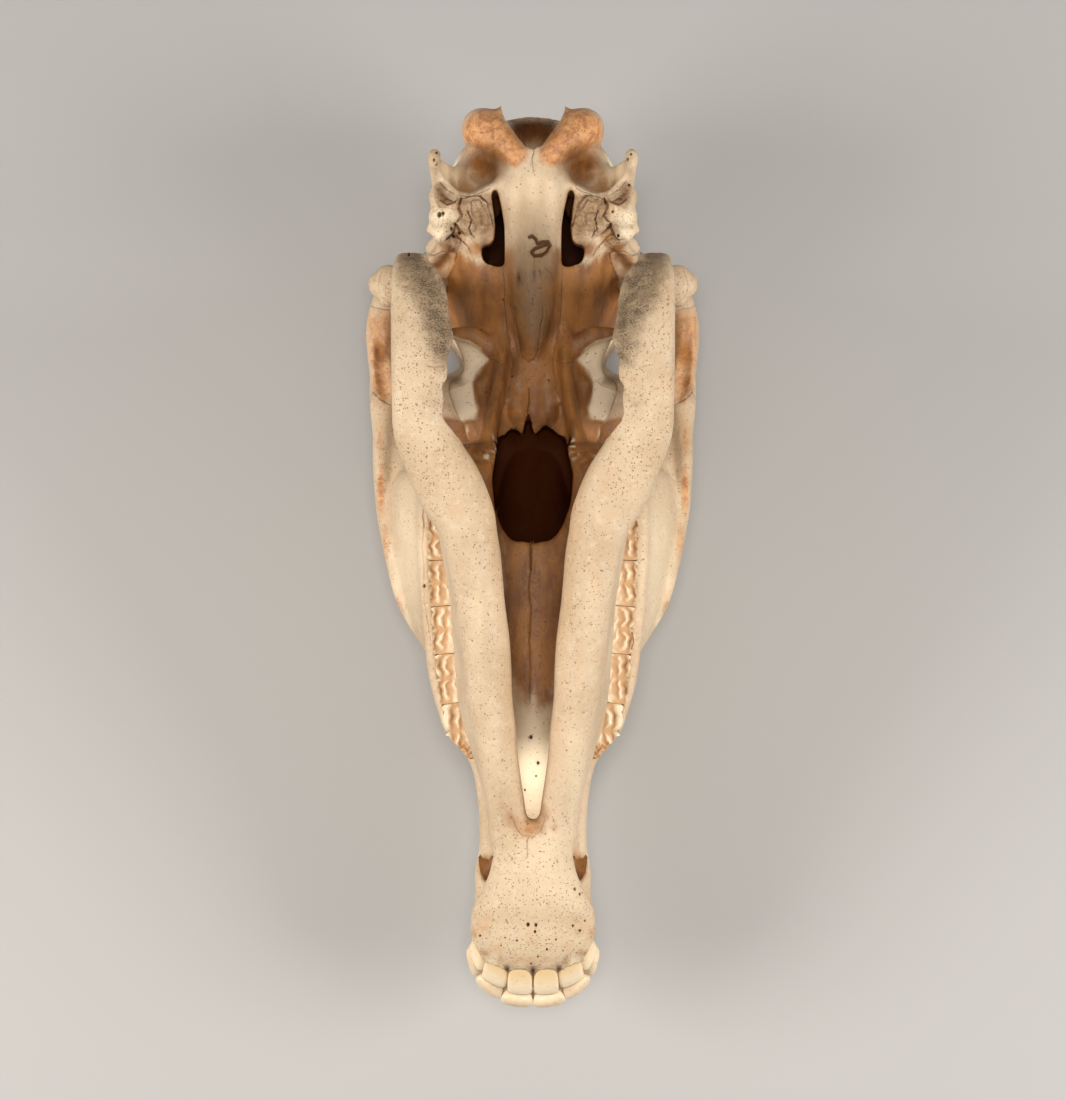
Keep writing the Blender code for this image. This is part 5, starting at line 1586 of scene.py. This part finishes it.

# %% [markdown]
# ## Old bone
#
# Bone is a warm cream that is never even. The material mixes a pale and a tan tone by large soft
# noise, adds pinkish blotches, darkens hollows and crevices to brown with dirt and painted shade,
# lightens edges with wear and a painted highlight, and scatters small pits. The stains, painted
# shade and painted light given above are broken up by noise so that they have no smooth border.

# %% A short way to wire nodes
class Wiring:
    """Adds nodes to one material and links them as it goes."""

    def __init__(self, name):
        self.material = bpy.data.materials.new(name)
        self.material.use_nodes = True
        self.tree = self.material.node_tree
        self.shader = self.tree.nodes["Principled BSDF"]

    def node(self, kind, inputs=(), **settings):
        made = self.tree.nodes.new("ShaderNode" + kind)
        for key, value in settings.items():
            setattr(made, key, value)
        for key, value in dict(inputs).items():
            self.set(made.inputs[key], value)
        return made

    def set(self, socket, value):
        if isinstance(value, bpy.types.NodeSocket):
            self.tree.links.new(value, socket)
        else:
            socket.default_value = value

    def attribute(self, name):
        made = self.node("Attribute", attribute_name=name)
        return made.outputs["Vector" if name == "place" else "Fac"]

    def math(self, operation, a, b=0.0, clamp=False):
        made = self.node("Math", {0: a, 1: b}, operation=operation, use_clamp=clamp)
        return made.outputs[0]

    def range(self, value, low, high, to_low=0.0, to_high=1.0):
        settings = {"Value": value, "From Min": low, "From Max": high, "To Min": to_low, "To Max": to_high}
        return self.node("MapRange", settings, interpolation_type="SMOOTHSTEP").outputs[0]

    def noise(self, size, detail=3.0, rough=0.55, stretch=(1, 1, 1)):
        """Noise whose lumps are about size mm apart."""
        place = self.attribute("place")
        if stretch != (1, 1, 1):
            place = self.node("VectorMath", {0: place, 1: stretch}, operation="MULTIPLY").outputs[0]
        settings = {"Vector": place, "Scale": 1 / size, "Detail": detail, "Roughness": rough}
        return self.node("TexNoise", settings).outputs["Fac"]

    def cells(self, size):
        """Random cells about size mm apart."""
        return self.node("TexVoronoi", {"Vector": self.attribute("place"), "Scale": 1 / size})

    def mix(self, share, a, b):
        made = self.node("Mix", {0: share, 6: a, 7: b}, data_type="RGBA")
        return made.outputs[2]


def colour(r, g, b):
    return (r, g, b, 1.0)


# %% Bone material
# Three sizes of pits: mm from one cell to the next, share of the cells, and radius in cells
PIT_SIZES = ((1.25, 1.0, 0.38), (2.3, 0.8, 0.29), (4.5, 0.6, 0.17))


def bone_material():
    """Lays about twenty tones over each other, from the clean bone up to cracks and pits."""
    w = Wiring("old_bone")

    def over(tone, share, strength, new):
        """Lays a colour over the tone so far."""
        return w.mix(w.math("MULTIPLY", share, strength), tone, new)

    def ragged_paint(name, size, low, high):
        """A painted number, broken up by noise so that its border is ragged."""
        broken = w.math("ADD", w.attribute(name), w.math("MULTIPLY", w.noise(size, 5, 0.65), 0.7))
        return w.range(broken, low, high)

    tone = w.mix(w.range(w.noise(38, 3), 0.35, 0.65), colour(0.55, 0.40, 0.25), colour(0.65, 0.50, 0.34))
    tone = over(tone, w.range(w.noise(13, 4), 0.52, 0.72), 0.35, colour(0.64, 0.42, 0.26))
    tone = over(tone, w.range(w.noise(4.5, 4, 0.6), 0.5, 0.72), 0.4, colour(0.76, 0.63, 0.46))
    tone = over(tone, w.range(w.noise(1.6, 5, 0.75), 0.52, 0.68), 0.5, colour(0.42, 0.28, 0.16))
    coarse = w.attribute("coarse")
    clumps = w.noise(2.6, 6, 0.72)
    # Rough patches: brown grime in soft blots, and painted shade in the low spots of their lumps, which the
    # bump sinks.
    grime_and_pit_shade = w.math("MULTIPLY", w.range(w.noise(8, 4), 0.4, 0.65), coarse)
    tone = over(tone, grime_and_pit_shade, 0.3, colour(0.52, 0.33, 0.17))
    grime_and_pit_shade = w.math("MULTIPLY", w.range(clumps, 0.53, 0.64), coarse)
    tone = over(tone, grime_and_pit_shade, 0.6, colour(0.30, 0.15, 0.06))
    # Pale: chipped and rubbed bone, and painted light on the orbit's hook and plate.
    tone = over(tone, w.attribute("pale"), 0.92, colour(0.96, 0.81, 0.58))
    # Edges are lighter: rubbed wear and a painted highlight.
    tone = over(tone, w.range(w.attribute("edge"), 0.22, 0.6), 0.5, colour(0.86, 0.72, 0.51))
    # Blush: a pinkish flush, with one painted highlight.
    tone = over(tone, ragged_paint("blush", 3.2, 0.75, 1.3), 0.6, colour(0.74, 0.37, 0.16))
    # Hollows turn browner the deeper they lie, as dirt and as painted shade, except on pale bone.
    deep = w.range(w.math("ADD", w.attribute("hollow"), w.math("MULTIPLY", w.noise(9, 3), 0.14)), 0.38, 0.8)
    fresh = w.math("SUBTRACT", 1.0, w.attribute("pale"), True)
    tone = over(tone, w.math("MULTIPLY", deep, fresh), 0.75, colour(0.46, 0.24, 0.09))
    web = w.range(w.noise(4.5, 6, 0.7), 0.40, 0.62)
    rust = w.mix(web, colour(0.70, 0.35, 0.135), colour(0.42, 0.15, 0.055))
    tone = over(tone, ragged_paint("rust", 6, 0.45, 1.25), 0.93, rust)
    # Brown: stain and painted shade, in two tones.
    clouds = w.range(w.noise(16, 5, 0.6, (1.3, 0.6, 1)), 0.36, 0.66)
    brown = w.mix(clouds, colour(0.42, 0.17, 0.036), colour(0.22, 0.078, 0.016))
    tone = over(tone, ragged_paint("brown", 7, 0.35, 1.25), 0.95, brown)
    # Grey: dirt and mottles, and painted shade on the cranium's base.
    tone = over(tone, w.range(w.attribute("grey"), 0.05, 1.1), 0.8, colour(0.25, 0.17, 0.09))
    mottle = w.attribute("mottle")
    smudge = w.math("MULTIPLY", w.range(w.noise(6, 4, 0.6), 0.4, 0.62), mottle)
    tone = over(tone, smudge, 0.7, colour(0.20, 0.14, 0.085))
    strokes = w.math("ADD", w.noise(0.95, 4, 0.7, (0.9, 1.5, 0.9)), w.math("MULTIPLY", w.noise(7, 3), 0.5))
    strokes = w.range(w.math("ADD", strokes, w.math("MULTIPLY", mottle, 0.16)), 0.92, 1.06)
    strokes = w.math("MULTIPLY", strokes, w.range(mottle, 0.0, 0.3))
    tone = over(tone, strokes, 0.8, colour(0.075, 0.045, 0.025))
    # Crevices and the creases of rough patches are darker brown: painted shade and dirt.
    crevice_shade_and_dirt = w.math("ADD", w.attribute("crevice"), w.math("MULTIPLY", w.noise(2.5, 4), 0.25))
    crevice_shade_and_dirt = w.math("MAXIMUM", w.range(crevice_shade_and_dirt, 0.32, 0.75), w.math("MULTIPLY", w.attribute("crease"), 0.7))
    tone = over(tone, crevice_shade_and_dirt, 0.8, colour(0.24, 0.105, 0.038))
    patches = w.range(w.noise(9, 3), 0.35, 0.62, 0.45, 1.0)
    pit = None
    for size, share, rim in PIT_SIZES:
        cells = w.cells(size)
        parts = w.node("SeparateColor", {0: cells.outputs["Color"]}).outputs
        wanted = w.math("MULTIPLY", w.math("MULTIPLY", w.attribute("speck"), patches), share)
        keep = w.math("LESS_THAN", parts[0], wanted)
        radius = w.range(parts[1], 0.0, 1.0, rim * 0.45, rim)
        inside = w.range(w.math("DIVIDE", cells.outputs["Distance"], radius), 1.0, 0.5)
        spot = w.math("MULTIPLY", inside, keep)
        pit = spot if pit is None else w.math("MAXIMUM", pit, spot)
    tone = over(tone, pit, 0.75, colour(0.27, 0.10, 0.04))
    # Nearly black: painted shade inside the nose, braincase and nape hole and between the front teeth, and
    # the dark spots and thread of the base.
    dark = w.attribute("dark")
    tone = over(tone, dark, 0.96, colour(0.045, 0.008, 0.002))
    # Cracks and seams in their own dark colour; holes nearly black as painted shade.
    tone = over(tone, w.attribute("crack"), 0.97, colour(0.075, 0.032, 0.013))
    w.set(w.shader.inputs["Base Color"], tone)
    grain = w.noise(1.3, 5, 0.65)
    w.set(w.shader.inputs["Roughness"], w.range(grain, 0.3, 0.7, 0.42, 0.62))
    w.set(w.shader.inputs["Specular IOR Level"], w.range(dark, 0.0, 1.0, 0.45, 0.03))
    height = w.math("ADD", w.math("MULTIPLY", grain, 0.3), w.math("MULTIPLY", w.noise(5, 3), 0.5))
    height = w.math("SUBTRACT", height, w.math("MULTIPLY", w.math("ADD", pit, strokes), 0.5))
    height = w.math("SUBTRACT", height, w.math("MULTIPLY", w.math("MULTIPLY", clumps, coarse), 4.5))
    bump = w.node("Bump", {"Strength": 0.7, "Distance": 0.0008, "Height": height})
    w.set(w.shader.inputs["Normal"], bump.outputs[0])
    return w.material


# %% [markdown]
# ## Tooth
#
# Enamel is smooth and half glossy, creamy white at the edge and yellow towards the gum. Worn
# dentine is orange brown and dull, and the lakes are nearly black.

# %% Tooth material
def tooth_material():
    """Cream enamel, brown grooves and dark cement, by three painted numbers."""
    w = Wiring("worn_tooth")
    enamel, pit, down = w.attribute("enamel"), w.attribute("pit"), w.attribute("down")
    cream = w.mix(w.range(down, 0.15, 0.85), colour(0.86, 0.71, 0.50), colour(0.80, 0.58, 0.31))
    cream = w.mix(w.math("MULTIPLY", w.range(w.noise(5, 4), 0.5, 0.8), 0.4), cream, colour(0.70, 0.50, 0.30))
    tone = w.mix(w.range(enamel, 0.1, 0.85), colour(0.60, 0.36, 0.18), cream)
    tone = w.mix(w.math("MULTIPLY", pit, 0.9), tone, colour(0.26, 0.12, 0.05))
    streak = w.range(w.noise(2.5, 4, 0.6, (1, 1, 0.25)), 0.56, 0.75)
    tone = w.mix(w.math("MULTIPLY", streak, 0.35), tone, colour(0.50, 0.28, 0.12))
    w.set(w.shader.inputs["Base Color"], tone)
    w.set(w.shader.inputs["Roughness"], w.range(enamel, 0.2, 0.8, 0.55, 0.28))
    bump = w.node("Bump", {"Strength": 0.35, "Distance": 0.0004, "Height": w.noise(1.2, 4, 0.6)})
    w.set(w.shader.inputs["Normal"], bump.outputs[0])
    return w.material


BONE, TOOTH = bone_material(), tooth_material()
print("materials", BONE.name, TOOTH.name)

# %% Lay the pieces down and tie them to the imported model
def settle(made, material, node):
    """Gives a piece its place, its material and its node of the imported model."""
    lay_down(made)
    made.data.materials.clear()
    made.data.materials.append(material)
    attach(made, "root")
    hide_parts(node)


settle(cranium, BONE, "cranium")
settle(jaw, BONE, "lower_jaw")
for node, tooth in teeth:
    settle(tooth, TOOTH, node)
print("pieces laid down", 2 + len(teeth))

# %% [markdown]
# ## Floor, light and camera
#
# The photo was taken square to the chewing plane. The camera's distance and lens were found from
# the perspective of the photo: 1.5 m, and a lens of 88 mm on a 36 mm frame. Two large lamps low at
# the sides bring out every swelling, a smaller one above lights the hollows, and a weak sky keeps
# the shadows soft. The floor is pale and dull, so that it sets off dark and bright bone alike.

# %% Floor
FLOOR_REACH = 6.0
floor_clay = bmesh.new()
bmesh.ops.create_grid(floor_clay, x_segments=1, y_segments=1, size=FLOOR_REACH)
floor_mesh = bpy.data.meshes.new("floor")
floor_clay.to_mesh(floor_mesh)
floor_clay.free()
floor = bpy.data.objects.new("floor", floor_mesh)
bpy.context.scene.collection.objects.link(floor)
w = Wiring("pale_floor")
w.set(w.shader.inputs["Base Color"], colour(0.46, 0.455, 0.45))
w.set(w.shader.inputs["Roughness"], 0.9)
floor_mesh.materials.append(w.material)

# %% Light
def area_light(name, place, aim, size, power, tint):
    """A round lamp: metres, watts and a slightly warm white."""
    data = bpy.data.lights.new(name, "AREA")
    data.shape = "DISK"
    data.size = size
    data.energy = power
    data.color = tint
    made = bpy.data.objects.new(name, data)
    bpy.context.scene.collection.objects.link(made)
    made.location = place
    made.rotation_euler = (Vector(aim) - Vector(place)).to_track_quat("-Z", "Y").to_euler()


LIT_POINT = (0, 0, 0.1)
area_light("left_box", (-1.3, -0.35, 0.9), LIT_POINT, 0.9, 20.3, (1.0, 0.95, 0.88))
area_light("right_box", (1.3, -0.35, 0.9), LIT_POINT, 0.9, 19.3, (1.0, 0.96, 0.90))
area_light("top_box", (0.0, -0.45, 2.2), LIT_POINT, 0.5, 19, (1.0, 0.96, 0.90))
world = bpy.data.worlds.new("soft_room")
world.use_nodes = True
sky = world.node_tree.nodes["Background"]
sky.inputs["Color"].default_value = colour(1.0, 0.98, 0.95)
sky.inputs["Strength"].default_value = 0.16
bpy.context.scene.world = world
print("lamps", [lamp.name for lamp in bpy.data.lights])

# %% Camera
SENSOR, PHOTO_HEIGHT = 36, 1100
CAMERA_PLACE = (0, AIM_Y * MM, CAMERA_HEIGHT * MM)
camera = bpy.data.objects.new("camera", bpy.data.cameras.new("camera"))
camera.data.sensor_width = SENSOR
camera.data.lens = SENSOR * FOCAL_PIXELS / PHOTO_HEIGHT
camera.data.clip_start, camera.data.clip_end = 0.05, 20
bpy.context.scene.collection.objects.link(camera)
lean = Matrix.Rotation(REST_TILT, 4, "X")
camera.matrix_world = Matrix.Translation(SHIFT) @ lean @ Matrix.Translation(CAMERA_PLACE)
bpy.context.scene.camera = camera
bpy.context.scene.view_settings.view_transform = "Standard"
place = [round(v, 3) for v in camera.matrix_world.translation]
print("lens", round(camera.data.lens, 1), "mm, seen from", place)
